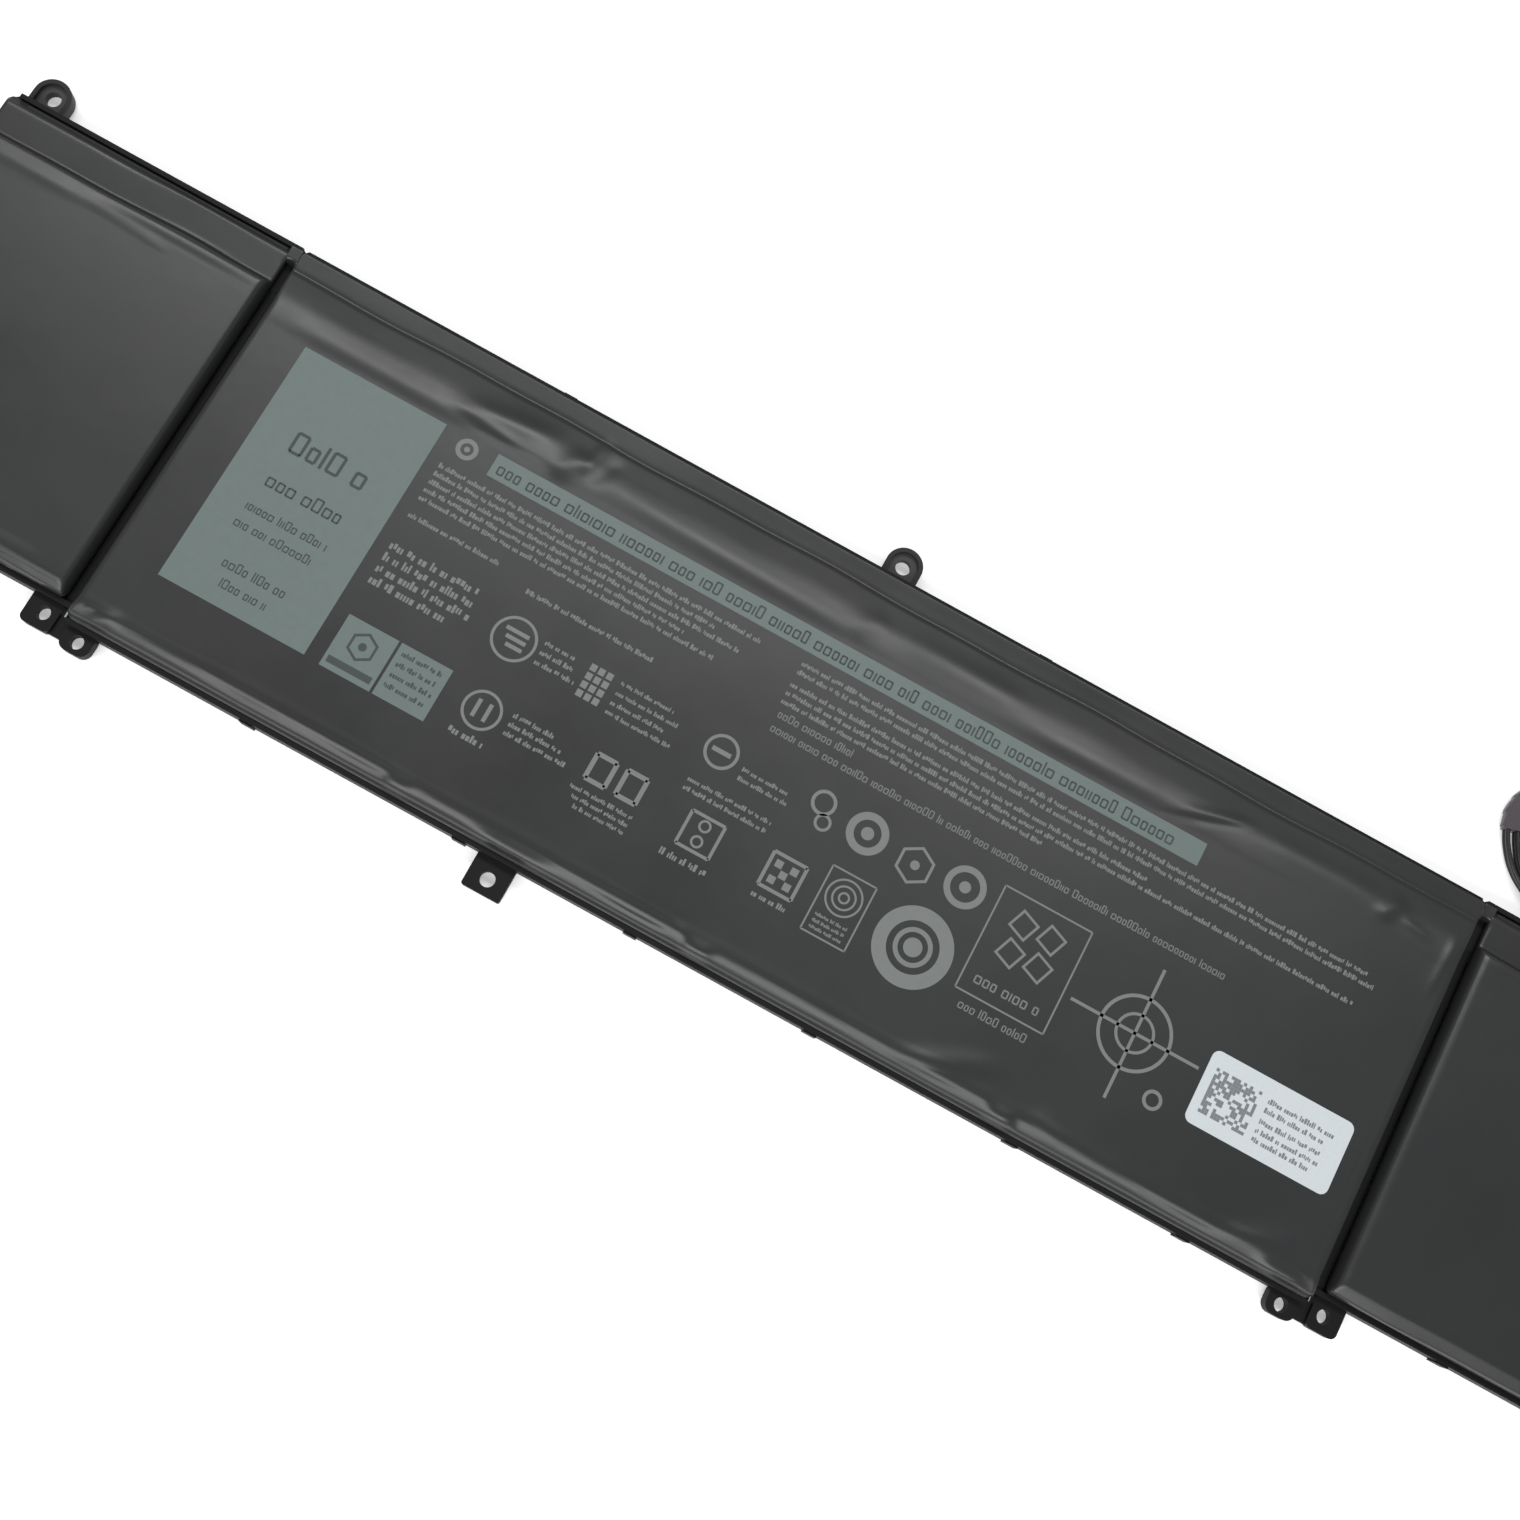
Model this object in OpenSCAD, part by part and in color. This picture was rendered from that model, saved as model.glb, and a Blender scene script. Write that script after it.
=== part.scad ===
// Flat lithium-ion battery pack: six flat prismatic cells side by side in a plastic
// frame, a protection board along one long edge, dark film over everything and a
// short wired lead. Lengths are in millimetres.
// X runs along the row of cells, +Y towards the edge with the round ears, +Z up out
// of the printed face. The origin is the centre of the underside.

/* [Pack] */
// Overall length, end wall to end wall
pack_len = 340; // [338:0.5:344]
// Height of the top film above the surface that the pack lies on
pack_h = 7.4; // [7.3:0.05:8]
// Edge of the middle section on the ear side
mid_top = 37.3; // [37.2:0.05:37.6]
// Edge of the middle section on the bracket side
mid_bottom = -37.2; // [-37.6:0.05:-37.1]
// Edge of both end sections on the ear side
end_top = 36.9; // [36.9:0.05:37.1]
// Edge of both end sections on the bracket side
end_bottom = -34.9; // [-35.3:0.05:-34.8]

/* [Seams] */
// Distance from the middle of the pack to each groove between film panels
seam_x = 114.6; // [114.4:0.1:114.8]
// Width of that groove
seam_w = 1.6; // [1:0.1:2]

/* [Cells] */
// Cell width, along the pack
cell_w = 52.4; // [50:0.1:52.6]
// Cell length, across the pack, without its sealed end
cell_len = 60.8; // [58:0.1:61]
// Cell thickness
cell_t = 6.9; // [6:0.1:6.9]
// Spacing of the four middle cells
cell_pitch = 57; // [56.5:0.1:57.2]
// Middle of each outer cell
end_cell_x = 142.6; // [142.4:0.1:142.7]

/* [Fixing holes] */
// Radius of the holes in the round ears
ear_bore_r = 1.35; // [1.1:0.05:1.6]
// Radius of the holes in the seam brackets
bracket_bore_r = 1.2; // [1.1:0.05:1.4]
// Radius of the hole in the square tab
tab_bore_r = 1.3; // [1.1:0.05:1.6]

/* [Lead] */
// Outside diameter of one insulated wire
wire_d = 0.9; // [0.8:0.05:0.9]
// Spacing of the contacts in the plug
contact_pitch = 2; // [1.8:0.1:2.1]

/* [Hidden] */
$fn = 48;

eps = 0.01;
half_len = pack_len / 2;
seam_in = seam_x - seam_w / 2;
seam_out = seam_x + seam_w / 2;
mirror_pair = [-1, 1];

// Heights, from the underside up
film_t = 0.15;
floor_film_t = 0.12;
adhesive_t = 0.2;
cell_z = floor_film_t + adhesive_t;
ring_z = 4.35;
skirt_z = 4.4;
rail_z = 5.6;
rim_z = 5.9;
channel_floor_z = 1;
board_z = 2.4;
board_t = 0.8;
pad_z = board_z + board_t;
pad_t = 0.15;
tab_z = pad_z + pad_t;
tab_t = 0.15;
terrace_t = 0.4;
lug_z = 0.9;
web_h = 1.3;
seam_rib_z = 3.6;

// Frame walls and ribs
wall = 0.9;
end_wall = 0.8;
cell_rib = 1;
seam_rib = 2;
channel_y = 28.2;
rail_out = 36.9;
rail_in = 36.1;
rail_end_gap = 0.9;
bridge_y = 34.2;
bottom_film_inset = 0.6;
mid_cells_y = -35 + cell_len / 2;
end_cells_y = -33.2 + cell_len / 2;
cell_xs = [-end_cell_x, -1.5 * cell_pitch, -0.5 * cell_pitch,
           0.5 * cell_pitch, 1.5 * cell_pitch, end_cell_x];
function cell_y(i) = i == 0 || i == 5 ? end_cells_y : mid_cells_y;

// Fixing points on the two long edges
ear_xs = [-165, 0.4, 165];
ear_y = 39.8;
ear_r = 3.3;
ear_floor = 1.5;
ear_rim = 0.8;
ear_h = 2.4;
tab_x = -34.4;
tab_y = -40.5;
tab_half = 3.5;
tab_tip = -43.1;
tab_h = 1.6;
lug_h = 2;
inner_lug = [seam_x - 6.5, seam_x - 1.2];
inner_lug_tip = -41;
inner_bore = [seam_x - 3.9, -39];
outer_lug = [seam_x + 0.8, seam_x + 6.3];
outer_lug_tip = -40.1;
outer_bore = [seam_x + 3.2, -37.4];

// Small stops along the outside of the walls, which the film's flaps butt against
stop_len = 2.4;
stop_t = 0.35;
mid_bottom_stops = [-80.5, -41.5, -10, 23, 60, 91.5];
mid_top_stops = [-63, 29];
end_bottom_stop = 138;
end_top_stop = 151;

// Board, from end to end of the channel
board_half = 166;
board_y0 = 30;
board_y1 = 35.8;
weld_dx = 14;
weld_w = 6;
weld_y0 = 30.9;
weld_y1 = 33.1;
terrace_len = 2.4;
post_x = 11.2;
mosfet_xs = [79, 85, 91, 107];
capacitor_xs = [-162, -120, -108, -62, -50, -36, -4, 4, 20, 37, 48.5, 66.5, 95, 111.5, 135];
thermistor_xs = [-1.5 * cell_pitch, -0.5 * cell_pitch, 1.5 * cell_pitch];
chip_leg_pitch = 1.27;

// Middle line of the lead, from the solder pads out through the wall and round to the
// plug: x, y, z, how far the wires are gathered from one row (0) into two layers (1),
// and the spacing of the row.
lead_route = [[126.8, 34.7, 3.75, 0, 1.3],
              [126.8, 37.4, 3.75, 0, 1.3],
              [126.5, 39.4, 3.4, 0.15, 1.3],
              [125.3, 41.6, 2.7, 0.45, 1.25],
              [123.3, 43.2, 1.9, 0.8, 1.25],
              [120.9, 44.4, 1.35, 1, 1.3],
              [118.6, 46.2, 1.25, 1, 1.4],
              [116.5, 49.1, 1.4, 1, 1.7],
              [115.2, 51.9, 1.5, 1, 1.8],
              [114.5, 54.6, 1.5, 1, 1.8],
              [115.3, 57.6, 1.5, 1, 1.8],
              [117.6, 60.2, 1.5, 1, 1.7],
              [121.4, 62.4, 1.5, 0.9, 1.5],
              [126.6, 63.8, 1.55, 0.4, 1.8],
              [131.8, 64, 1.6, 0, contact_pitch],
              [137, 64, 1.6, 0, contact_pitch]];
wrap_route = [[115.5, 51.2, 1.5], [114.5, 54.6, 1.5], [115.3, 57.6, 1.5],
              [116.5, 58.95, 1.5], [118.4, 60.65, 1.5]];
wire_count = 6;
layer_pitch = 1;
lead_x = lead_route[0][0];
wire_sides = 8;
wrap_sides = 12;
wrap_flatness = 0.5;
wrap_wall = 0.25;
wrap_half_w = 2.75;
wrap_half_h = 1.35;

// Plug at the end of the lead
plug_x = 137;
plug_y = 64;
plug_len = 8;
plug_w = 14.4;
plug_h = 3.2;
cavity_w = 1.3;
cavity_h = 1.9;
cavity_len = 5.4;

// ---- outlines and sweeps that several parts share ----

module rounded_rect(x0, y0, x1, y1, r) {
    translate([x0 + r, y0]) square([x1 - x0 - 2 * r, y1 - y0]);
    translate([x0, y0 + r]) square([x1 - x0, y1 - y0 - 2 * r]);
    for (x = [x0 + r, x1 - r], y = [y0 + r, y1 - r]) translate([x, y]) circle(r);
}

// Plan of the pack, drawn in from its edges by inset
module pack_outline(inset) {
    rounded_rect(-seam_in + inset, mid_bottom + inset, seam_in - inset, mid_top - inset, 0.8);
    rounded_rect(-half_len + inset, end_bottom + inset, half_len - inset, end_top - inset, 2 - inset);
}

module block(x0, x1, y0, y1, z0, z1) {
    translate([x0, y0, z0]) cube([x1 - x0, y1 - y0, z1 - z0]);
}

function unit2(v) = v / norm(v);
function heading(p, k) =
    unit2([p[min(k + 1, len(p) - 1)][0] - p[max(k - 1, 0)][0],
           p[min(k + 1, len(p) - 1)][1] - p[max(k - 1, 0)][1]]);
function side_of(h) = [h[1], -h[0]];

// One ring of a tube that runs level along path p, with half width a and half height b.
// A flatness of 1 is an ellipse, and a smaller one is nearer to a rectangle.
function bulge(c, flatness) = sign(c) * pow(abs(c), flatness);
function ring(p, k, a, b, sides, flatness) =
    let (s = side_of(heading(p, k)))
    [for (i = [0 : sides - 1])
        let (t = 360 * (i + 0.5) / sides, u = a * bulge(cos(t), flatness))
        [p[k][0] + s[0] * u, p[k][1] + s[1] * u, p[k][2] + b * bulge(sin(t), flatness)]];

module swept_tube(p, a, b, sides, flatness = 1) {
    n = len(p);
    points = [for (k = [0 : n - 1]) each ring(p, k, a, b, sides, flatness)];
    skin = [for (k = [0 : n - 2], i = [0 : sides - 1])
                let (j = (i + 1) % sides)
                each [[k * sides + i, k * sides + j, (k + 1) * sides + j],
                      [k * sides + i, (k + 1) * sides + j, (k + 1) * sides + i]]];
    first_cap = [for (i = [sides - 1 : -1 : 0]) i];
    last_cap = [for (i = [0 : sides - 1]) (n - 1) * sides + i];
    polyhedron(points, concat(skin, [first_cap, last_cap]), convexity = 6);
}

// ---- frame ----

module ear(x) {
    difference() {
        union() {
            translate([x, ear_y, lug_z]) cylinder(h = ear_h, r = ear_r);
            block(x - ear_r, x + ear_r, rail_in, ear_y, lug_z, lug_z + ear_h);
        }
        translate([x, ear_y, lug_z + ear_floor]) cylinder(h = ear_h, r = ear_r - ear_rim);
        block(x - ear_r + ear_rim, x + ear_r - ear_rim, mid_top, ear_y, lug_z + ear_floor, ring_z);
        translate([x, ear_y, 0]) cylinder(h = ring_z, r = ear_bore_r);
    }
}

module seam_bracket() {
    difference() {
        union() {
            translate([0, 0, lug_z]) linear_extrude(lug_h) {
                rounded_rect(inner_lug[0], inner_lug_tip, inner_lug[1], mid_bottom + wall, 1.6);
                rounded_rect(outer_lug[0], outer_lug_tip, outer_lug[1], end_bottom + wall, 1.1);
            }
            block(seam_x - 2.6, seam_x + 2.4, outer_lug_tip + 0.2, mid_bottom + wall,
                  lug_z, lug_z + web_h);
        }
        for (hole = [inner_bore, outer_bore])
            translate([hole[0], hole[1], 0]) cylinder(h = ring_z, r = bracket_bore_r);
    }
}

module square_tab() {
    difference() {
        translate([0, 0, lug_z]) linear_extrude(tab_h)
            rounded_rect(tab_x - tab_half, tab_tip, tab_x + tab_half, mid_bottom + wall, 0.4);
        translate([tab_x, tab_y, 0]) cylinder(h = ring_z, r = tab_bore_r);
    }
}

module cell_windows() {
    for (side = mirror_pair) mirror([side < 0 ? 1 : 0, 0, 0]) {
        window_y = mid_bottom + wall;
        block(cell_rib / 2, cell_pitch - cell_rib / 2, window_y, channel_y, -1, rim_z + 1);
        block(cell_pitch + cell_rib / 2, seam_x - seam_rib / 2, window_y, channel_y, -1, rim_z + 1);
        block(seam_x + seam_rib / 2, half_len - end_wall, end_bottom + wall, channel_y, -1, rim_z + 1);
    }
}

module film_stop(x, wall_y) {
    block(x - stop_len / 2, x + stop_len / 2, wall_y - stop_t, wall_y + stop_t, lug_z, ring_z - 0.6);
}

module frame() color([0.05, 0.05, 0.055]) {
    wire_notch_half = 4.4;
    difference() {
        union() {
            translate([0, 0, floor_film_t]) linear_extrude(ring_z - floor_film_t) pack_outline(0);
            block(-seam_in + rail_end_gap, seam_in - rail_end_gap, rail_in, rail_out,
                  ring_z - 1, rail_z);
            for (side = mirror_pair) mirror([side < 0 ? 1 : 0, 0, 0]) {
                block(seam_out - 0.2, half_len - 2, rail_in, rail_out, ring_z - 1, rim_z);
                block(seam_in + 0.1, seam_out - 0.1, bridge_y, rail_out, ring_z - 1, rim_z);
            }
        }
        cell_windows();
        block(-half_len + end_wall, half_len - end_wall, channel_y - eps, rail_in,
              channel_floor_z, ring_z + eps);
        for (side = mirror_pair)
            block(side * seam_x - seam_rib, side * seam_x + seam_rib,
                  end_bottom + wall, channel_y, seam_rib_z, ring_z + 1);
        block(lead_x - wire_notch_half, lead_x + wire_notch_half, rail_in - 1, mid_top,
              pad_z - 0.1, 4.6);
    }
    // Posts that carry the board
    for (side = mirror_pair, k = [0 : 5])
        translate([side * (post_x + cell_pitch / 2 * k), 0, 0])
            block(-0.6, 0.6, board_y0 + 0.4, board_y1 - 0.4, channel_floor_z - eps, board_z);
    for (x = mid_bottom_stops) film_stop(x, mid_bottom);
    for (x = mid_top_stops) film_stop(x, mid_top);
    for (side = mirror_pair) {
        film_stop(side * end_bottom_stop, end_bottom);
        film_stop(side * end_top_stop, end_top);
    }
    for (x = ear_xs) ear(x);
    seam_bracket();
    mirror([1, 0, 0]) seam_bracket();
    square_tab();
}

// ---- cells and what joins them ----

// A flat pouch cell: rounded block with a thin sealed end where its tabs leave, and the
// two long seals folded up along its sides
module cell(i) color([0.72, 0.73, 0.75]) translate([cell_xs[i], cell_y(i), cell_z]) {
    body_half = cell_w / 2 - 0.5;
    corner = 1.2;
    end_round = 2;
    intersection() {
        translate([0, cell_len / 2, 0]) rotate([90, 0, 0]) linear_extrude(cell_len)
            rounded_rect(-body_half, 0, body_half, cell_t, corner);
        rotate([90, 0, 90]) translate([0, 0, -cell_w / 2]) linear_extrude(cell_w)
            rounded_rect(-cell_len / 2, 0, cell_len / 2, cell_t, end_round);
    }
    block(-body_half + 1, body_half - 1, cell_len / 2 - 2.5, cell_len / 2 + terrace_len,
          tab_z - cell_z, tab_z - cell_z + terrace_t);
    for (side = mirror_pair)
        block(side * body_half - (side < 0 ? 0.5 : 0.1), side * body_half + (side < 0 ? 0.1 : 0.5),
              -cell_len / 2 + 3, cell_len / 2 - 3, 1.4, cell_t - 1.4);
}

module cell_tabs(i) color([0.8, 0.79, 0.74])
    for (side = mirror_pair)
        translate([cell_xs[i] + side * weld_dx, 0, 0])
            block(-weld_w / 2 + 0.5, weld_w / 2 - 0.5, cell_y(i) + cell_len / 2 + terrace_len,
                  weld_y1 - 0.1, tab_z, tab_z + tab_t);

module tab_tape(i) color([0.75, 0.5, 0.12])
    for (side = mirror_pair)
        translate([cell_xs[i] + side * weld_dx, 0, tab_z + terrace_t + 0.02])
            block(-4.2, 4.2, cell_y(i) + cell_len / 2 + 0.3, weld_y1 + 0.1, 0, 0.08);

module weld_pads() color([0.78, 0.77, 0.7])
    for (x = cell_xs, side = mirror_pair)
        block(x + side * weld_dx - weld_w / 2, x + side * weld_dx + weld_w / 2, weld_y0, weld_y1,
              pad_z, tab_z);

// ---- protection board ----

module circuit_board() color([0.05, 0.22, 0.13])
    difference() {
        block(-board_half, board_half, board_y0, board_y1, board_z, board_z + board_t);
        for (x = [-164, -63, 63, 164]) translate([x, 34.6, board_z - 1]) cylinder(h = 3, r = 0.6);
    }

module chip(x, y, length, width, height) {
    block(x - length / 2, x + length / 2, y - width / 2, y + width / 2, pad_z + 0.1, pad_z + height);
    // Legs along both long sides, resting on the board
    last = floor(length / chip_leg_pitch) - 1;
    for (k = [0 : last], side = mirror_pair)
        translate([x + (k - last / 2) * chip_leg_pitch, y + side * width / 2, pad_z])
            block(-0.2, 0.2, side < 0 ? -0.5 : -0.1, side < 0 ? 0.1 : 0.5, 0, 0.35);
}

module mosfets() color([0.08, 0.08, 0.08]) for (x = mosfet_xs) chip(x, 34, 5, 2.4, 1);
module gauge_chip() color([0.08, 0.08, 0.08]) chip(57, 32.6, 8, 3.6, 1.1);
module protection_chip() color([0.08, 0.08, 0.08]) chip(28.5, 32.6, 6, 3.4, 1.1);

module chemical_fuse() color([0.85, 0.83, 0.78]) {
    block(148.4, 152, 31.4, 34.4, pad_z, pad_z + 0.9);
    block(148.8, 151.6, 31.8, 34, pad_z + 0.9 - eps, pad_z + 1.1);
}

module sense_resistor() color([0.2, 0.2, 0.2]) block(116.5, 119.7, 32, 33.6, pad_z, pad_z + 0.6);

module capacitors() color([0.62, 0.5, 0.36])
    for (x = capacitor_xs)
        block(x - 0.8, x + 0.8, 34.3, 35.1, pad_z, pad_z + 0.8);

module thermistors() color([0.1, 0.1, 0.1])
    for (x = thermistor_xs) block(x - 0.8, x + 0.8, 31, 31.8, pad_z, pad_z + 0.6);

module thermal_cutoffs() color([0.2, 0.2, 0.22])
    for (x = [cell_xs[0], cell_xs[2], cell_xs[5]]) translate([x, 0, 0]) {
        block(-2.6, 2.6, 32.4, 35.2, pad_z, pad_z + 0.9);
        for (side = mirror_pair) block(side * 4 - 1.4, side * 4 + 1.4, 33, 34.6, pad_z, pad_z + 0.15);
    }

module solder_joints() color([0.75, 0.75, 0.76])
    for (k = [0 : wire_count - 1])
        translate([lead_x + (k - 2.5) * lead_route[0][4], lead_route[0][1] - 0.4, pad_z])
            intersection() {
                sphere(r = 0.6);
                translate([-1, -1, 0]) cube([2, 1.4, 1]);
            }

module board_cover() color([0.1, 0.1, 0.1])
    for (span = [[-board_half, -116.3], [-113, 113], [116.3, board_half]])
        block(span[0], span[1], board_y0, board_y1 - 0.1, rail_z - 0.4, rail_z);

// ---- foam, adhesive and film ----

module gap_foam() color([0.16, 0.16, 0.17])
    for (side = mirror_pair, x = [1.25, 55.75, 58.25, 112.8])
        block(side * x - 0.65, side * x + 0.65, -30, 20, 1.5, seam_rib_z - 0.1);

module cell_adhesive() color([0.88, 0.88, 0.84])
    for (i = [0 : 5], side = mirror_pair)
        block(cell_xs[i] + side * 13 - 6, cell_xs[i] + side * 13 + 6, cell_y(i) - 25, cell_y(i) + 25,
              floor_film_t, cell_z);

module bottom_film() color([0.08, 0.08, 0.085]) linear_extrude(floor_film_t)
    pack_outline(bottom_film_inset);

// Film pressed over a section: the part common to an outline across the pack and one
// along it, less the same shape one film thickness further in
module film_panel(across, along) {
    difference() {
        intersection() {
            rotate([90, 0, 90]) translate([0, 0, -half_len]) linear_extrude(pack_len) polygon(across);
            rotate([90, 0, 0]) translate([0, 0, -50]) linear_extrude(100) polygon(along);
        }
        intersection() {
            rotate([90, 0, 90]) translate([0, 0, -half_len]) linear_extrude(pack_len)
                polygon(drawn_in(across));
            rotate([90, 0, 0]) translate([0, 0, -50]) linear_extrude(100) polygon(drawn_in(along));
        }
    }
}

// The outline moved in by the film's thickness, except at its two open lower ends
function edge_normal(p, k) = let (d = unit2(p[(k + 1) % len(p)] - p[k])) [-d[1], d[0]];
function drawn_in(p) = [for (k = [0 : len(p) - 1])
    let (a = edge_normal(p, (k + len(p) - 1) % len(p)), b = edge_normal(p, k),
         step = film_t / (1 + a * b))
    k == 0 || k == len(p) - 1
        ? [p[k][0] + (k == 0 ? b[0] : a[0]) * film_t, p[k][1] - 1]
        : p[k] + (a + b) * step];

mid_across = [[mid_bottom + 0.1, skirt_z], [-35.6, pack_h - 1], [-33.9, pack_h], [26, pack_h],
              [33.3, rim_z - 0.05], [36.9, rim_z], [mid_top - 0.1, rail_z], [mid_top - 0.1, skirt_z]];
end_across = [[end_bottom + 0.2, skirt_z], [-33.5, pack_h - 1], [-31.9, pack_h], [28, pack_h],
              [29.8, rim_z - 0.05], [36, rim_z], [36, skirt_z]];
mid_along = [[-seam_in, skirt_z], [-seam_in + 1.2, pack_h], [seam_in - 1.2, pack_h],
             [seam_in, skirt_z]];
end_along = [[seam_out, skirt_z], [seam_out + 1.2, pack_h], [half_len - 1.6, pack_h],
             [half_len - 0.2, skirt_z]];

// Outlines run clockwise seen along the extrusion, so that inwards is to the right
function reversed(p) = [for (k = [len(p) - 1 : -1 : 0]) p[k]];

module top_film_middle() color([0.24, 0.25, 0.26])
    film_panel(reversed(mid_across), reversed(mid_along));

module top_film_right() color([0.24, 0.25, 0.26])
    film_panel(reversed(end_across), reversed(end_along));

module top_film_left() mirror([1, 0, 0]) top_film_right();

module data_sticker() color([0.85, 0.88, 0.89])
    translate([0, 0, pack_h + 0.01]) linear_extrude(0.1) rounded_rect(82.1, -20.9, 108.2, -8.1, 1.2);

// ---- lead ----

// Wire i sits in pair floor(i / 2). A pair stands side by side in a row and turns until
// one wire is above the other where the lead is gathered.
function wire_point(i, k) =
    let (c = lead_route[k], turn = 90 * c[3], pair = floor(i / 2) - 1, half = i % 2 - 0.5,
         spread = c[4] * (pair * (2 - c[3]) + half * cos(turn)),
         s = side_of(heading(lead_route, k)))
    [c[0] + s[0] * spread, c[1] + s[1] * spread, c[2] + half * layer_pitch * sin(turn)];

module wire(i) color([0.06, 0.06, 0.06])
    swept_tube([for (k = [0 : len(lead_route) - 1]) wire_point(i, k)],
               wire_d / 2, wire_d / 2, wire_sides);

module wire_wrap() color([0.1, 0.09, 0.1])
    difference() {
        swept_tube(wrap_route, wrap_half_w, wrap_half_h, wrap_sides, wrap_flatness);
        swept_tube(wrap_bore(), wrap_half_w - wrap_wall, wrap_half_h - wrap_wall, wrap_sides,
                   wrap_flatness);
    }

// The wrap's route, with both ends run on past its faces
function wrap_bore() =
    let (n = len(wrap_route), first = wrap_route[0], last = wrap_route[n - 1])
    concat([first + (first - wrap_route[1]) * 0.1],
           [for (k = [1 : n - 2]) wrap_route[k]],
           [last + (last - wrap_route[n - 2]) * 0.1]);

module plug_housing() color([0.07, 0.07, 0.07])
    difference() {
        union() {
            block(plug_x, plug_x + plug_len, plug_y - plug_w / 2, plug_y + plug_w / 2, 0, plug_h);
            // Side keys and the raised finger rest
            block(plug_x + 2, plug_x + plug_len - 1, plug_y - plug_w / 2 - 0.6,
                  plug_y + plug_w / 2 + 0.6, 1, 2.2);
            block(plug_x + 0.4, plug_x + 1.6, plug_y - 4, plug_y + 4, plug_h - eps, plug_h + 0.5);
        }
        for (k = [0 : wire_count - 1]) translate([0, plug_y + (k - 2.5) * contact_pitch, 0])
            block(plug_x + plug_len - cavity_len, plug_x + plug_len + 1, -cavity_w / 2, cavity_w / 2,
                  plug_h / 2 - cavity_h / 2, plug_h / 2 + cavity_h / 2);
    }

module plug_contacts() color([0.83, 0.72, 0.4])
    for (k = [0 : wire_count - 1], side = mirror_pair)
        translate([0, plug_y + (k - 2.5) * contact_pitch, plug_h / 2 + side * 0.6])
            block(plug_x + plug_len - cavity_len, plug_x + plug_len - 0.6, -0.45, 0.45, -0.12, 0.12);

frame();
for (i = [0 : 5]) {
    cell(i);
    cell_tabs(i);
    tab_tape(i);
}
weld_pads();
circuit_board();
mosfets();
gauge_chip();
protection_chip();
chemical_fuse();
sense_resistor();
capacitors();
thermistors();
thermal_cutoffs();
solder_joints();
board_cover();
gap_foam();
cell_adhesive();
bottom_film();
top_film_left();
top_film_middle();
top_film_right();
data_sticker();
for (i = [0 : wire_count - 1])
    wire(i);
wire_wrap();
plug_housing();
plug_contacts();
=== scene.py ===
import math
import random

import bmesh
import bpy
import numpy as np
from mathutils import Matrix, Vector


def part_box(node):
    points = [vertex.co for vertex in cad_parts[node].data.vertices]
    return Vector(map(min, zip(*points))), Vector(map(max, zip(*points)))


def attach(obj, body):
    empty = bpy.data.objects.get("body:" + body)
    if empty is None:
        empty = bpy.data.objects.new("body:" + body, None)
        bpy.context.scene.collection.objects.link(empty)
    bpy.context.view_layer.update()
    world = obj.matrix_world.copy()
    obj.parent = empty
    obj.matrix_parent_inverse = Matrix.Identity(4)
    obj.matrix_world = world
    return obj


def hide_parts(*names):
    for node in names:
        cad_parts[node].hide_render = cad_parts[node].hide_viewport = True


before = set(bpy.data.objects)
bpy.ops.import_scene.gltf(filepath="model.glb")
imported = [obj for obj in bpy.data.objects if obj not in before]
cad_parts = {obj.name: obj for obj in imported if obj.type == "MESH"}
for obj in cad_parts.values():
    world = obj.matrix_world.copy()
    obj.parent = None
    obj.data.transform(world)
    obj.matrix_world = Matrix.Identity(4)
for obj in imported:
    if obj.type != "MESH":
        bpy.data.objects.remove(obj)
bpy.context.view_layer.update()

mm = 0.001


# ---- Frame ----
# One tray moulded in black glass-filled plastic. It holds the cells in windows and the
# board in a channel, and its ears, brackets and square tab are screwed down. Every wall
# has a spark-eroded grain, smoothed by handling. The ear floors are coloured paler.

no_ears = 1000 * mm


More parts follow.
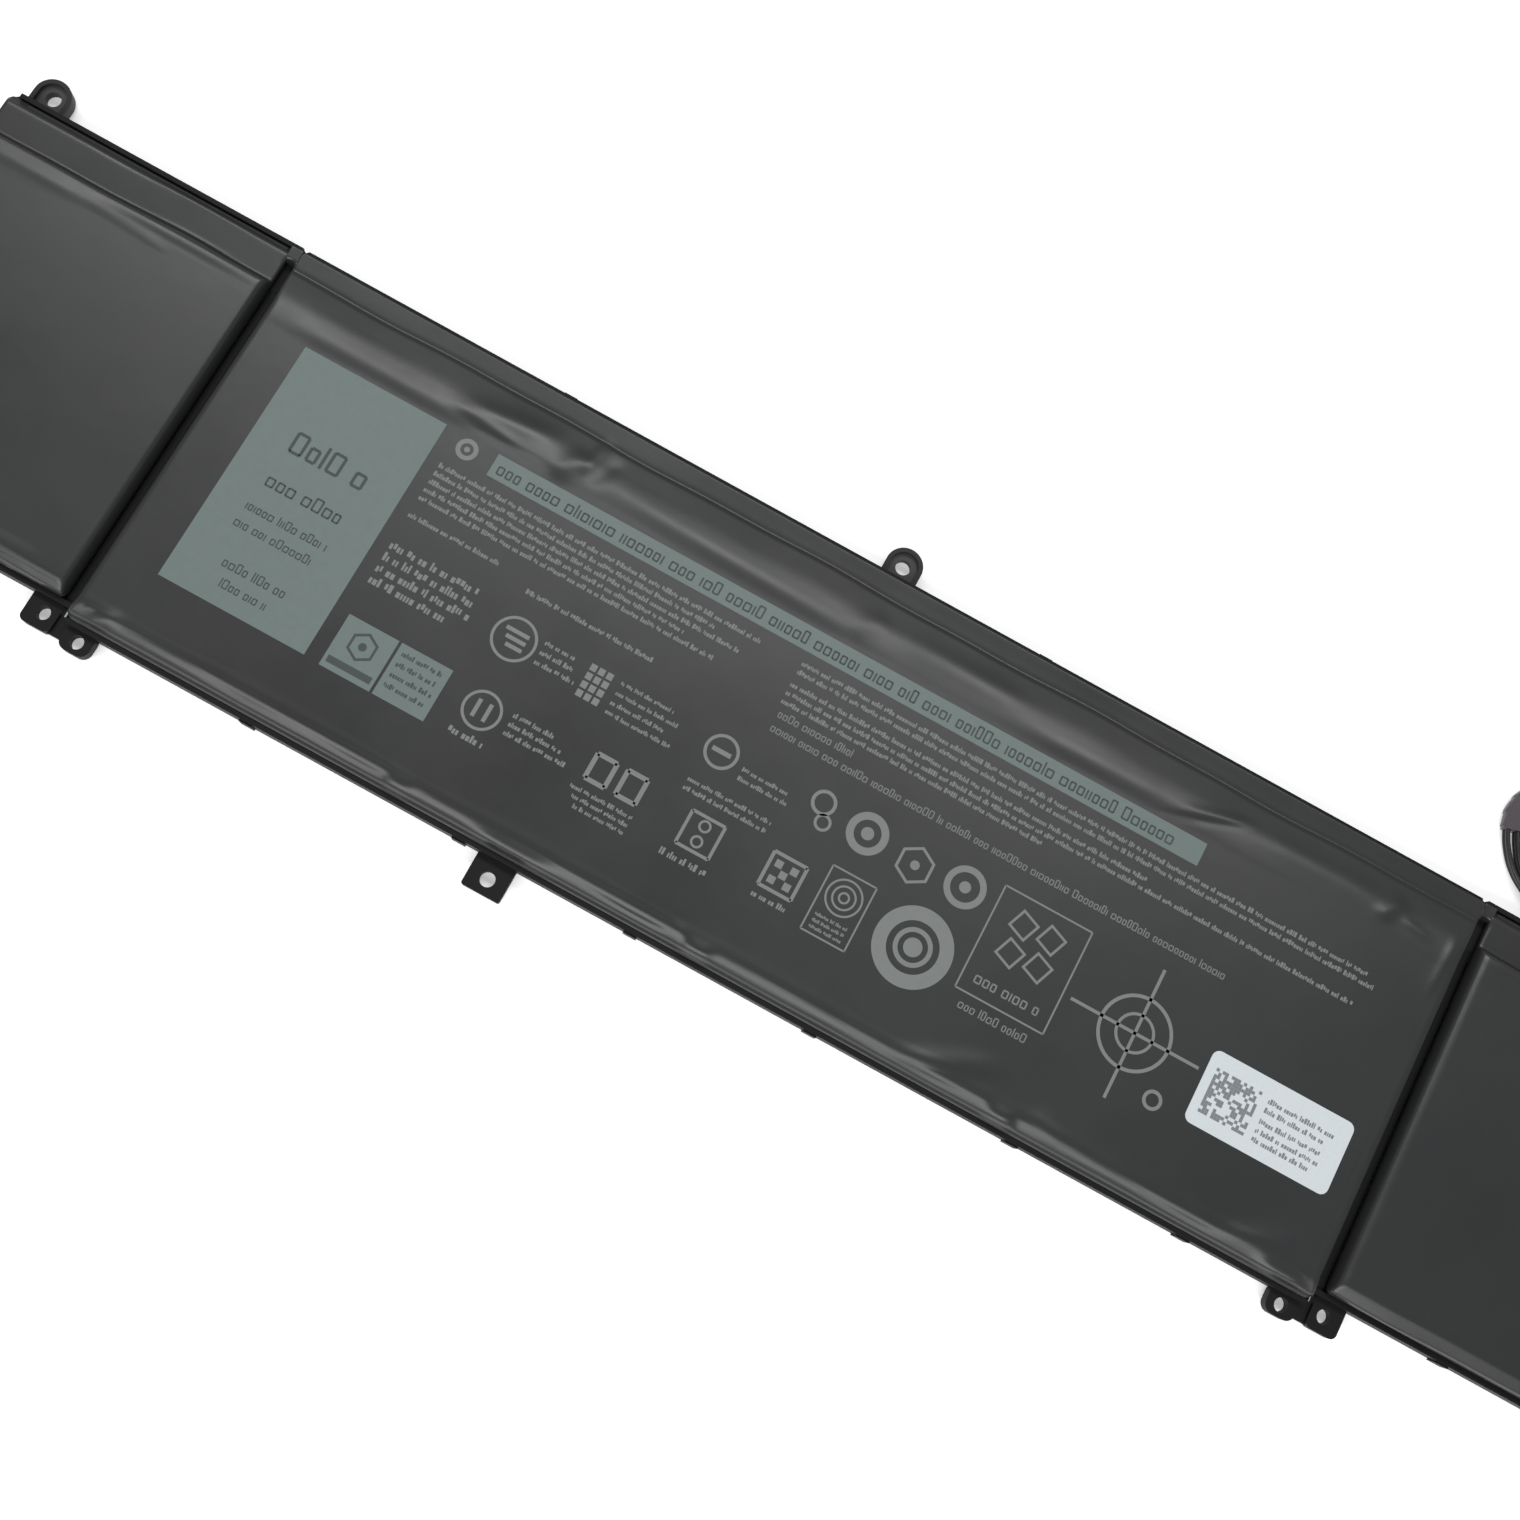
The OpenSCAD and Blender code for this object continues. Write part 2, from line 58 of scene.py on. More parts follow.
def moulded_plastic(name, colour, roughness, grain, depth, ear_start=no_ears):
    material = bpy.data.materials.new(name)
    material.use_nodes = True
    tree = material.node_tree
    tree.nodes.clear()
    place = tree.nodes.new("ShaderNodeTexCoord")
    place.label = "Place on the moulding"
    speckle = tree.nodes.new("ShaderNodeTexNoise")
    speckle.label = "Spark-eroded grain"
    relief = tree.nodes.new("ShaderNodeBump")
    relief.label = "Grain stands up"
    rubbed = tree.nodes.new("ShaderNodeTexNoise")
    rubbed.label = "Handled patches"
    shine = tree.nodes.new("ShaderNodeMapRange")
    shine.label = "Handled patches are smoother"
    tone = tree.nodes.new("ShaderNodeMix")
    tone.label = "Uneven pigment"
    axes = tree.nodes.new("ShaderNodeSeparateXYZ")
    axes.label = "Across and up"
    outside = tree.nodes.new("ShaderNodeMapRange")
    outside.label = "Outside the rail"
    low = tree.nodes.new("ShaderNodeMapRange")
    low.label = "Below the ear rim"
    floors = tree.nodes.new("ShaderNodeMath")
    floors.label = "Ear floors"
    paler_ear_floors = tree.nodes.new("ShaderNodeMix")
    paler_ear_floors.label = "Ear floors coloured paler"
    surface = tree.nodes.new("ShaderNodeBsdfPrincipled")
    surface.label = "Moulded plastic"
    finish = tree.nodes.new("ShaderNodeOutputMaterial")
    finish.label = "Moulding"
    for column, node in enumerate((place, speckle, relief, rubbed, shine, tone, axes, outside, low,
                                   floors, paler_ear_floors, surface, finish)):
        node.location = (220 * column, 0)
    for label, members in (("Grain", (speckle, relief)), ("Wear and pigment", (rubbed, shine, tone)),
                           ("Screw ears", (axes, outside, low, floors, paler_ear_floors))):
        group = tree.nodes.new("NodeFrame")
        group.label = label
        for member in members:
            member.parent = group
    speckle.inputs["Scale"].default_value = 1 / grain
    speckle.inputs["Detail"].default_value = 4
    relief.inputs["Strength"].default_value = 0.5
    relief.inputs["Distance"].default_value = depth
    rubbed.inputs["Scale"].default_value = 90
    rubbed.inputs["Detail"].default_value = 6
    shine.inputs["To Min"].default_value = roughness - 0.1
    shine.inputs["To Max"].default_value = roughness + 0.1
    tone.data_type = "RGBA"
    tone.inputs["A"].default_value = (*[0.75 * c for c in colour], 1)
    tone.inputs["B"].default_value = (*[1.3 * c for c in colour], 1)
    outside.inputs["From Min"].default_value = ear_start
    outside.inputs["From Max"].default_value = ear_start + 0.3 * mm
    low.inputs["From Min"].default_value = 2.5 * mm
    low.inputs["From Max"].default_value = 3.1 * mm
    low.inputs["To Min"].default_value = 1
    low.inputs["To Max"].default_value = 0.35
    floors.operation = "MULTIPLY"
    # The ear floors, outside the rail and below the ear rim, are coloured paler than the rest of the tray.
    paler_ear_floors.data_type = "RGBA"
    paler_ear_floors.inputs["B"].default_value = (0.05, 0.052, 0.05, 1)
    surface.inputs["IOR"].default_value = 1.49
    surface.inputs["Specular IOR Level"].default_value = 0.22
    tree.links.new(place.outputs["Object"], speckle.inputs["Vector"])
    tree.links.new(place.outputs["Object"], rubbed.inputs["Vector"])
    tree.links.new(speckle.outputs["Fac"], relief.inputs["Height"])
    tree.links.new(relief.outputs["Normal"], surface.inputs["Normal"])
    tree.links.new(rubbed.outputs["Fac"], shine.inputs["Value"])
    tree.links.new(shine.outputs["Result"], surface.inputs["Roughness"])
    tree.links.new(rubbed.outputs["Fac"], tone.inputs["Factor"])
    tree.links.new(place.outputs["Object"], axes.inputs["Vector"])
    tree.links.new(axes.outputs["Y"], outside.inputs["Value"])
    tree.links.new(axes.outputs["Z"], low.inputs["Value"])
    tree.links.new(outside.outputs["Result"], floors.inputs[0])
    tree.links.new(low.outputs["Result"], floors.inputs[1])
    tree.links.new(floors.outputs["Value"], paler_ear_floors.inputs["Factor"])
    tree.links.new(tone.outputs["Result"], paler_ear_floors.inputs["A"])
    tree.links.new(paler_ear_floors.outputs["Result"], surface.inputs["Base Color"])
    tree.links.new(surface.outputs["BSDF"], finish.inputs["Surface"])
    return material


def give(node, material):
    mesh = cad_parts[node].data
    mesh.materials.clear()
    mesh.materials.append(material)


rail_outside = 37 * mm
give("frame", moulded_plastic("tray_plastic", (0.003, 0.003, 0.003), 0.58, 0.22 * mm, 0.02 * mm,
                              rail_outside))


# ---- Cells ----
# Six flat pouches of laminated aluminium foil, sealed at the end where the tabs leave and
# with the side seals folded up. The foil is soft, so it shows shallow creases all over.

def pouch_foil(name):
    material = bpy.data.materials.new(name)
    material.use_nodes = True
    tree = material.node_tree
    tree.nodes.clear()
    place = tree.nodes.new("ShaderNodeTexCoord")
    place.label = "Place on the pouch"
    crease = tree.nodes.new("ShaderNodeTexVoronoi")
    crease.label = "Shallow creases"
    relief = tree.nodes.new("ShaderNodeBump")
    relief.label = "Creases in the foil"
    cloud = tree.nodes.new("ShaderNodeTexNoise")
    cloud.label = "Cloudy nylon layer"
    haze = tree.nodes.new("ShaderNodeMapRange")
    haze.label = "Haze over the foil"
    surface = tree.nodes.new("ShaderNodeBsdfPrincipled")
    surface.label = "Laminated foil"
    finish = tree.nodes.new("ShaderNodeOutputMaterial")
    finish.label = "Pouch"
    for column, node in enumerate((place, crease, relief, cloud, haze, surface, finish)):
        node.location = (220 * column, 0)
    for label, members in (("Creases", (crease, relief)), ("Haze", (cloud, haze))):
        group = tree.nodes.new("NodeFrame")
        group.label = label
        for member in members:
            member.parent = group
    crease.feature = "DISTANCE_TO_EDGE"
    crease.inputs["Scale"].default_value = 70
    relief.inputs["Strength"].default_value = 0.3
    relief.inputs["Distance"].default_value = 0.1 * mm
    cloud.inputs["Scale"].default_value = 60
    haze.inputs["To Min"].default_value = 0.25
    haze.inputs["To Max"].default_value = 0.42
    surface.inputs["Base Color"].default_value = (0.56, 0.57, 0.59, 1)
    surface.inputs["Metallic"].default_value = 0.85
    tree.links.new(place.outputs["Object"], crease.inputs["Vector"])
    tree.links.new(place.outputs["Object"], cloud.inputs["Vector"])
    tree.links.new(crease.outputs["Distance"], relief.inputs["Height"])
    tree.links.new(relief.outputs["Normal"], surface.inputs["Normal"])
    tree.links.new(cloud.outputs["Fac"], haze.inputs["Value"])
    tree.links.new(haze.outputs["Result"], surface.inputs["Roughness"])
    tree.links.new(surface.outputs["BSDF"], finish.inputs["Surface"])
    return material


cell_count = 6
foil = pouch_foil("pouch_foil")
for cell in range(1, cell_count + 1):
    give(f"cell_{cell}", foil)


# ---- Tabs, weld pads, solder and contacts ----
# Nickel strips welded to the board's pads, bright solder round the wire ends, and the
# plug's gold-flashed contacts. All are rolled or drawn, so they have fine lines one way.

def drawn_metal(name, colour, roughness, line_spacing):
    material = bpy.data.materials.new(name)
    material.use_nodes = True
    tree = material.node_tree
    tree.nodes.clear()
    place = tree.nodes.new("ShaderNodeTexCoord")
    place.label = "Place on the strip"
    stretch = tree.nodes.new("ShaderNodeMapping")
    stretch.label = "Lines run along Y"
    lines = tree.nodes.new("ShaderNodeTexNoise")
    lines.label = "Rolling lines"
    relief = tree.nodes.new("ShaderNodeBump")
    relief.label = "Lines in the metal"
    gloss = tree.nodes.new("ShaderNodeMapRange")
    gloss.label = "Lines scatter light"
    surface = tree.nodes.new("ShaderNodeBsdfPrincipled")
    surface.label = "Drawn metal"
    finish = tree.nodes.new("ShaderNodeOutputMaterial")
    finish.label = "Metal"
    for column, node in enumerate((place, stretch, lines, relief, gloss, surface, finish)):
        node.location = (220 * column, 0)
    group = tree.nodes.new("NodeFrame")
    group.label = "Rolling lines"
    for member in (stretch, lines, relief, gloss):
        member.parent = group
    stretch.inputs["Scale"].default_value = (1, 0.04, 1)
    lines.inputs["Scale"].default_value = 1 / line_spacing
    lines.inputs["Detail"].default_value = 3
    relief.inputs["Strength"].default_value = 0.25
    relief.inputs["Distance"].default_value = 0.01 * mm
    gloss.inputs["To Min"].default_value = roughness - 0.08
    gloss.inputs["To Max"].default_value = roughness + 0.08
    surface.inputs["Base Color"].default_value = (*colour, 1)
    surface.inputs["Metallic"].default_value = 1
    tree.links.new(place.outputs["Object"], stretch.inputs["Vector"])
    tree.links.new(stretch.outputs["Vector"], lines.inputs["Vector"])
    tree.links.new(lines.outputs["Fac"], relief.inputs["Height"])
    tree.links.new(lines.outputs["Fac"], gloss.inputs["Value"])
    tree.links.new(gloss.outputs["Result"], surface.inputs["Roughness"])
    tree.links.new(relief.outputs["Normal"], surface.inputs["Normal"])
    tree.links.new(surface.outputs["BSDF"], finish.inputs["Surface"])
    return material


nickel = drawn_metal("nickel_strip", (0.6, 0.57, 0.5), 0.32, 0.08 * mm)
give("weld_pads", nickel)
for cell in range(1, cell_count + 1):
    give(f"cell_tabs_{cell}", nickel)
give("solder_joints", drawn_metal("bright_solder", (0.62, 0.62, 0.64), 0.25, 0.3 * mm))
give("plug_contacts", drawn_metal("gold_flash", (0.8, 0.6, 0.28), 0.28, 0.06 * mm))


# ---- Tapes, foam, adhesive and cover sheet ----
# Amber polyimide over each welded tab, foam strips between the cells, double-sided
# adhesive under them, and a black fibre sheet laid over the board before the film.

def soft_sheet(name, colour, roughness, texture_size, depth, coat):
    material = bpy.data.materials.new(name)
    material.use_nodes = True
    tree = material.node_tree
    tree.nodes.clear()
    place = tree.nodes.new("ShaderNodeTexCoord")
    place.label = "Place on the sheet"
    pores = tree.nodes.new("ShaderNodeTexVoronoi")
    pores.label = "Pores and fibres"
    relief = tree.nodes.new("ShaderNodeBump")
    relief.label = "Pores are sunk"
    # The sunk pores are coloured darker: painted shade in the pores.
    tone = tree.nodes.new("ShaderNodeMix")
    tone.label = "Painted shade in the pores"
    surface = tree.nodes.new("ShaderNodeBsdfPrincipled")
    surface.label = "Soft sheet"
    finish = tree.nodes.new("ShaderNodeOutputMaterial")
    finish.label = "Sheet"
    for column, node in enumerate((place, pores, relief, tone, surface, finish)):
        node.location = (220 * column, 0)
    group = tree.nodes.new("NodeFrame")
    group.label = "Pores"
    for member in (pores, relief, tone):
        member.parent = group
    pores.inputs["Scale"].default_value = 1 / texture_size
    relief.inputs["Strength"].default_value = 0.5
    relief.inputs["Distance"].default_value = depth
    tone.data_type = "RGBA"
    tone.inputs["A"].default_value = (*[0.6 * c for c in colour], 1)
    tone.inputs["B"].default_value = (*colour, 1)
    surface.inputs["Roughness"].default_value = roughness
    surface.inputs["Coat Weight"].default_value = coat
    tree.links.new(place.outputs["Object"], pores.inputs["Vector"])
    tree.links.new(pores.outputs["Distance"], relief.inputs["Height"])
    tree.links.new(pores.outputs["Distance"], tone.inputs["Factor"])
    tree.links.new(tone.outputs["Result"], surface.inputs["Base Color"])
    tree.links.new(relief.outputs["Normal"], surface.inputs["Normal"])
    tree.links.new(surface.outputs["BSDF"], finish.inputs["Surface"])
    return material


amber = soft_sheet("amber_tape", (0.55, 0.24, 0.02), 0.25, 2 * mm, 0.01 * mm, 0.6)
for cell in range(1, cell_count + 1):
    give(f"tab_tape_{cell}", amber)
give("gap_foam", soft_sheet("gap_foam", (0.045, 0.045, 0.05), 0.9, 0.5 * mm, 0.2 * mm, 0))
give("cell_adhesive", soft_sheet("cell_adhesive", (0.7, 0.7, 0.64), 0.6, 1.5 * mm, 0.02 * mm, 0.2))
fibre = soft_sheet("fibre_sheet", (0.012, 0.012, 0.012), 0.8, 0.4 * mm, 0.03 * mm, 0)
give("board_cover", fibre)


# ---- Board and its parts ----
# A narrow glass-fibre board under green mask, with moulded chips, a ceramic fuse and
# capacitors soldered along it. It lies in the channel beside the cells.

def solder_mask(name):
    material = bpy.data.materials.new(name)
    material.use_nodes = True
    tree = material.node_tree
    tree.nodes.clear()
    place = tree.nodes.new("ShaderNodeTexCoord")
    place.label = "Place on the board"
    tracks = tree.nodes.new("ShaderNodeTexBrick")
    tracks.label = "Copper areas under the mask"
    relief = tree.nodes.new("ShaderNodeBump")
    relief.label = "Copper stands up"
    surface = tree.nodes.new("ShaderNodeBsdfPrincipled")
    surface.label = "Green mask"
    finish = tree.nodes.new("ShaderNodeOutputMaterial")
    finish.label = "Board"
    for column, node in enumerate((place, tracks, relief, surface, finish)):
        node.location = (220 * column, 0)
    group = tree.nodes.new("NodeFrame")
    group.label = "Tracks"
    for member in (tracks, relief):
        member.parent = group
    tracks.inputs["Scale"].default_value = 120
    tracks.inputs["Mortar Size"].default_value = 0.03
    tracks.inputs["Color1"].default_value = (0.012, 0.11, 0.055, 1)
    tracks.inputs["Color2"].default_value = (0.016, 0.14, 0.07, 1)
    tracks.inputs["Mortar"].default_value = (0.006, 0.05, 0.028, 1)
    relief.inputs["Strength"].default_value = 0.4
    relief.inputs["Distance"].default_value = 0.03 * mm
    surface.inputs["Roughness"].default_value = 0.32
    surface.inputs["Coat Weight"].default_value = 0.3
    tree.links.new(place.outputs["Object"], tracks.inputs["Vector"])
    tree.links.new(tracks.outputs["Color"], surface.inputs["Base Color"])
    tree.links.new(tracks.outputs["Fac"], relief.inputs["Height"])
    tree.links.new(relief.outputs["Normal"], surface.inputs["Normal"])
    tree.links.new(surface.outputs["BSDF"], finish.inputs["Surface"])
    return material


give("circuit_board", solder_mask("green_mask"))
epoxy = moulded_plastic("chip_epoxy", (0.014, 0.014, 0.015), 0.55, 0.1 * mm, 0.01 * mm)
for part in ("mosfets", "gauge_chip", "protection_chip", "sense_resistor", "thermistors",
             "thermal_cutoffs"):
    give(part, epoxy)
give("capacitors", moulded_plastic("fired_ceramic", (0.33, 0.22, 0.12), 0.5, 0.1 * mm, 0.01 * mm))
give("chemical_fuse", moulded_plastic("fuse_ceramic", (0.62, 0.6, 0.54), 0.4, 0.1 * mm, 0.01 * mm))


# ---- Top film ----
# Dark satin polyester, pressed hot over each section and stuck down round its edge. It
# lies flat on the rail over the board, creases where the rail stops, tents over the tab
# ends and rounds off over the cells' edges, with small wrinkles where two cells meet.

def satin_film(name, warm, green, roughness):
    material = bpy.data.materials.new(name)
    material.use_nodes = True
    tree = material.node_tree
    tree.nodes.clear()
    place = tree.nodes.new("ShaderNodeTexCoord")
    place.label = "Place on the film"
    matting = tree.nodes.new("ShaderNodeTexNoise")
    matting.label = "Matting of the film"
    fine_relief = tree.nodes.new("ShaderNodeBump")
    fine_relief.label = "Matted skin"
    swell = tree.nodes.new("ShaderNodeTexNoise")
    swell.label = "Print-through of the pouches"
    broad_relief = tree.nodes.new("ShaderNodeBump")
    broad_relief.label = "Faint waves"
    smudge = tree.nodes.new("ShaderNodeTexNoise")
    smudge.label = "Handling marks"
    sheen = tree.nodes.new("ShaderNodeMapRange")
    sheen.label = "Marks change the gloss"
    drift = tree.nodes.new("ShaderNodeTexNoise")
    drift.label = "Slow change of tone"
    tone = tree.nodes.new("ShaderNodeMix")
    tone.label = "Warm to green"
    surface = tree.nodes.new("ShaderNodeBsdfPrincipled")
    surface.label = "Satin polyester"
    finish = tree.nodes.new("ShaderNodeOutputMaterial")
    finish.label = "Film"
    for column, node in enumerate((place, matting, fine_relief, swell, broad_relief, smudge, sheen,
                                   drift, tone, surface, finish)):
        node.location = (220 * column, 0)
    for label, members in (("Relief", (matting, fine_relief, swell, broad_relief)),
                           ("Gloss", (smudge, sheen)), ("Tone", (drift, tone))):
        group = tree.nodes.new("NodeFrame")
        group.label = label
        for member in members:
            member.parent = group
    matting.inputs["Scale"].default_value = 1 / (0.16 * mm)
    matting.inputs["Detail"].default_value = 3
    fine_relief.inputs["Strength"].default_value = 0.35
    fine_relief.inputs["Distance"].default_value = 0.01 * mm
    swell.inputs["Scale"].default_value = 110
    swell.inputs["Detail"].default_value = 3
    broad_relief.inputs["Strength"].default_value = 0.3
    broad_relief.inputs["Distance"].default_value = 0.12 * mm
    smudge.inputs["Scale"].default_value = 38
    smudge.inputs["Detail"].default_value = 7
    smudge.inputs["Roughness"].default_value = 0.6
    sheen.inputs["From Min"].default_value = 0.3
    sheen.inputs["From Max"].default_value = 0.7
    sheen.inputs["To Min"].default_value = roughness - 0.05
    sheen.inputs["To Max"].default_value = roughness + 0.06
    drift.inputs["Scale"].default_value = 16
    drift.inputs["Detail"].default_value = 2
    tone.data_type = "RGBA"
    tone.inputs["A"].default_value = (*warm, 1)
    tone.inputs["B"].default_value = (*green, 1)
    surface.inputs["IOR"].default_value = 1.5
    surface.inputs["Specular IOR Level"].default_value = 0.5
    for texture in (matting, swell, smudge, drift):
        tree.links.new(place.outputs["Object"], texture.inputs["Vector"])
    tree.links.new(swell.outputs["Fac"], broad_relief.inputs["Height"])
    tree.links.new(matting.outputs["Fac"], fine_relief.inputs["Height"])
    tree.links.new(broad_relief.outputs["Normal"], fine_relief.inputs["Normal"])
    tree.links.new(fine_relief.outputs["Normal"], surface.inputs["Normal"])
    tree.links.new(smudge.outputs["Fac"], sheen.inputs["Value"])
    tree.links.new(sheen.outputs["Result"], surface.inputs["Roughness"])
    tree.links.new(drift.outputs["Fac"], tone.inputs["Factor"])
    tree.links.new(tone.outputs["Result"], surface.inputs["Base Color"])
    tree.links.new(surface.outputs["BSDF"], finish.inputs["Surface"])
    return material


film_thickness = 0.1 * mm
film_satin = satin_film("satin_film", (0.0170, 0.0155, 0.0170), (0.0140, 0.0168, 0.0160), 0.32)


def finished_sheet(name, bm, material, thickness, side):
    """Makes a piece of thin sheet from a formed skin. Its thickness goes up where side is 1."""
    mesh = bpy.data.meshes.new(name)
    bm.to_mesh(mesh)
    bm.free()
    mesh.materials.append(material)
    piece = bpy.data.objects.new(name, mesh)
    bpy.context.scene.collection.objects.link(piece)
    wall = piece.modifiers.new("sheet thickness", "SOLIDIFY")
    wall.thickness = thickness
    wall.offset = side
    return piece


def rounded_profile(points, softness):
    """Places and heights along a bent line of points, with its corners rounded off."""
    step = 0.05 * mm
    places = np.arange(points[0][0] * mm, points[-1][0] * mm + step, step)
    heights = np.interp(places, [p[0] * mm for p in points], [p[1] * mm for p in points])
    reach = int(3 * softness / step)
    weights = np.exp(-0.5 * (np.arange(-reach, reach + 1) * step / softness) ** 2)
    padded = np.pad(heights, reach, mode="edge")
    return places, np.convolve(padded, weights / weights.sum(), "valid")


def fold(x, y, middle, half_length, half_width, turn, height):
    """A long low ridge, or a valley where height is negative. Sizes are in millimetres."""
    dx = x - middle[0] * mm
    dy = y - middle[1] * mm
    along = (dx * math.cos(turn) + dy * math.sin(turn)) / (half_length * mm)
    across = (dy * math.cos(turn) - dx * math.sin(turn)) / (half_width * mm)
    return height * mm * np.exp(-along ** 4 - across ** 2)


pouch_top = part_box("cell_1")[1].z
pouch_round = 2 * mm
pouch_side_round = 1.2 * mm
pouch_gap = 0.01 * mm
corner_blend = 0.16 * mm
long_wander = 0.15 * mm
short_wander = 0.09 * mm
ripple_height = 0.012 * mm
rail_start = 33.4 * mm
rail_blend = 0.8 * mm
seam_zone = 150 * mm
rail_lift = 3 * mm


def pouch_edge(distance, radius):
    """Height of a pouch's rounded edge at a distance in from the edge."""
    step = np.clip(radius - distance, 0, None)
    return pouch_top - radius + np.sqrt(np.clip(radius ** 2 - step ** 2, 0, None))


def within(y, start, full, fading, end):
    """1 between full and fading, falling to 0 at start and end. y is in metres, the rest in mm."""
    rising = np.clip((y / mm - start) / (full - start), 0, 1)
    return rising * np.clip((end - y / mm) / (end - fading), 0, 1)


def film_height(x, y, section):
    """Height of a section's film over a point."""
    creased = within(y, 26, 29, 34, 36) + within(y, -35.6, -34.6, -33, -31)
    wander = long_wander * np.sin(x / (9.1 * mm)) + short_wander * np.sin(x / (3.9 * mm) + 1)
    across = np.interp(y + wander * creased, *section["across"])
    over_rail = np.clip((y - rail_start) / rail_blend, 0, 1) * (np.abs(x) < seam_zone)
    along = np.interp(x, *section["along"]) + rail_lift * over_rail
    height = -corner_blend * np.log(np.exp(-across / corner_blend) + np.exp(-along / corner_blend))
    for middle, half_length, half_width, turn, rise in section["folds"]:
        height = height + fold(x, y, middle, half_length, half_width, math.radians(turn), rise)
    ripple = np.sin(x / (7.3 * mm) + 1.7 * np.sin(y / (11 * mm))) * np.sin(y / (6.1 * mm) + 0.8)
    height = height + ripple_height * ripple
    end_gap = np.minimum(y - section["pouches"][0] * mm, section["pouches"][1] * mm - y)
    side_gap = np.minimum(x - section["sides"][0] * mm, section["sides"][1] * mm - x)
    pouch = np.minimum(pouch_edge(end_gap, pouch_round), pouch_edge(side_gap, pouch_side_round))
    lowest = np.where(np.minimum(end_gap, side_gap) > 0, pouch + film_thickness + pouch_gap, 0)
    return np.maximum(height, lowest)


def stations(spans):
    """Places along an axis, from spans of (start, spacing, end) in millimetres, once each."""
    places = []
    for start, spacing, end in spans:
        count = round((end - start) / spacing)
        places += [(start + (end - start) * k / count) * mm for k in range(count)]
    return places + [spans[-1][2] * mm]


def rounded_corner(x, y, low, high, radius):
    """Draws a point near a corner of a rectangle in, so that the corner becomes round."""
    middle_x = min(max(x, low[0] + radius), high[0] - radius)
    middle_y = min(max(y, low[1] + radius), high[1] - radius)
    u = (x - middle_x) / radius
    v = (y - middle_y) / radius
    return (middle_x + radius * u * math.sqrt(1 - v * v / 2),
            middle_y + radius * v * math.sqrt(1 - u * u / 2))


skirt_drop = 0.12 * mm
film_corner = 1.1 * mm
weld_distance = 0.001 * mm


def pressed_film(name, node, section):
    """A section's film, with an edge that turns down to the frame all round."""
    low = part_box(node)[0]
    columns = [section["columns"][0], *section["columns"], section["columns"][-1]]
    rows = [section["rows"][0], *section["rows"], section["rows"][-1]]
    bm = bmesh.new()
    bmesh.ops.create_grid(bm, x_segments=len(columns) - 1, y_segments=len(rows) - 1, size=1)
    for vertex in bm.verts:
        column = round((vertex.co.x + 1) / 2 * (len(columns) - 1))
        row = round((vertex.co.y + 1) / 2 * (len(rows) - 1))
        x, y = columns[column], rows[row]
        edge = column in (0, len(columns) - 1) or row in (0, len(rows) - 1)
        height = float(film_height(x, y, section))
        height = min(low.z, height - skirt_drop) if edge else height
        vertex.co = (*rounded_corner(x, y, Vector((columns[0], rows[0])),
                                     Vector((columns[-1], rows[-1])), film_corner), height)
    skirt = [vertex for vertex in bm.verts if vertex.is_boundary]
    bmesh.ops.remove_doubles(bm, verts=skirt, dist=weld_distance)
    bmesh.ops.recalc_face_normals(bm, faces=bm.faces)
    piece = finished_sheet(name, bm, film_satin, film_thickness, -1)
    piece.data.shade_smooth()
    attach(piece, "root")
    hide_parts(node)


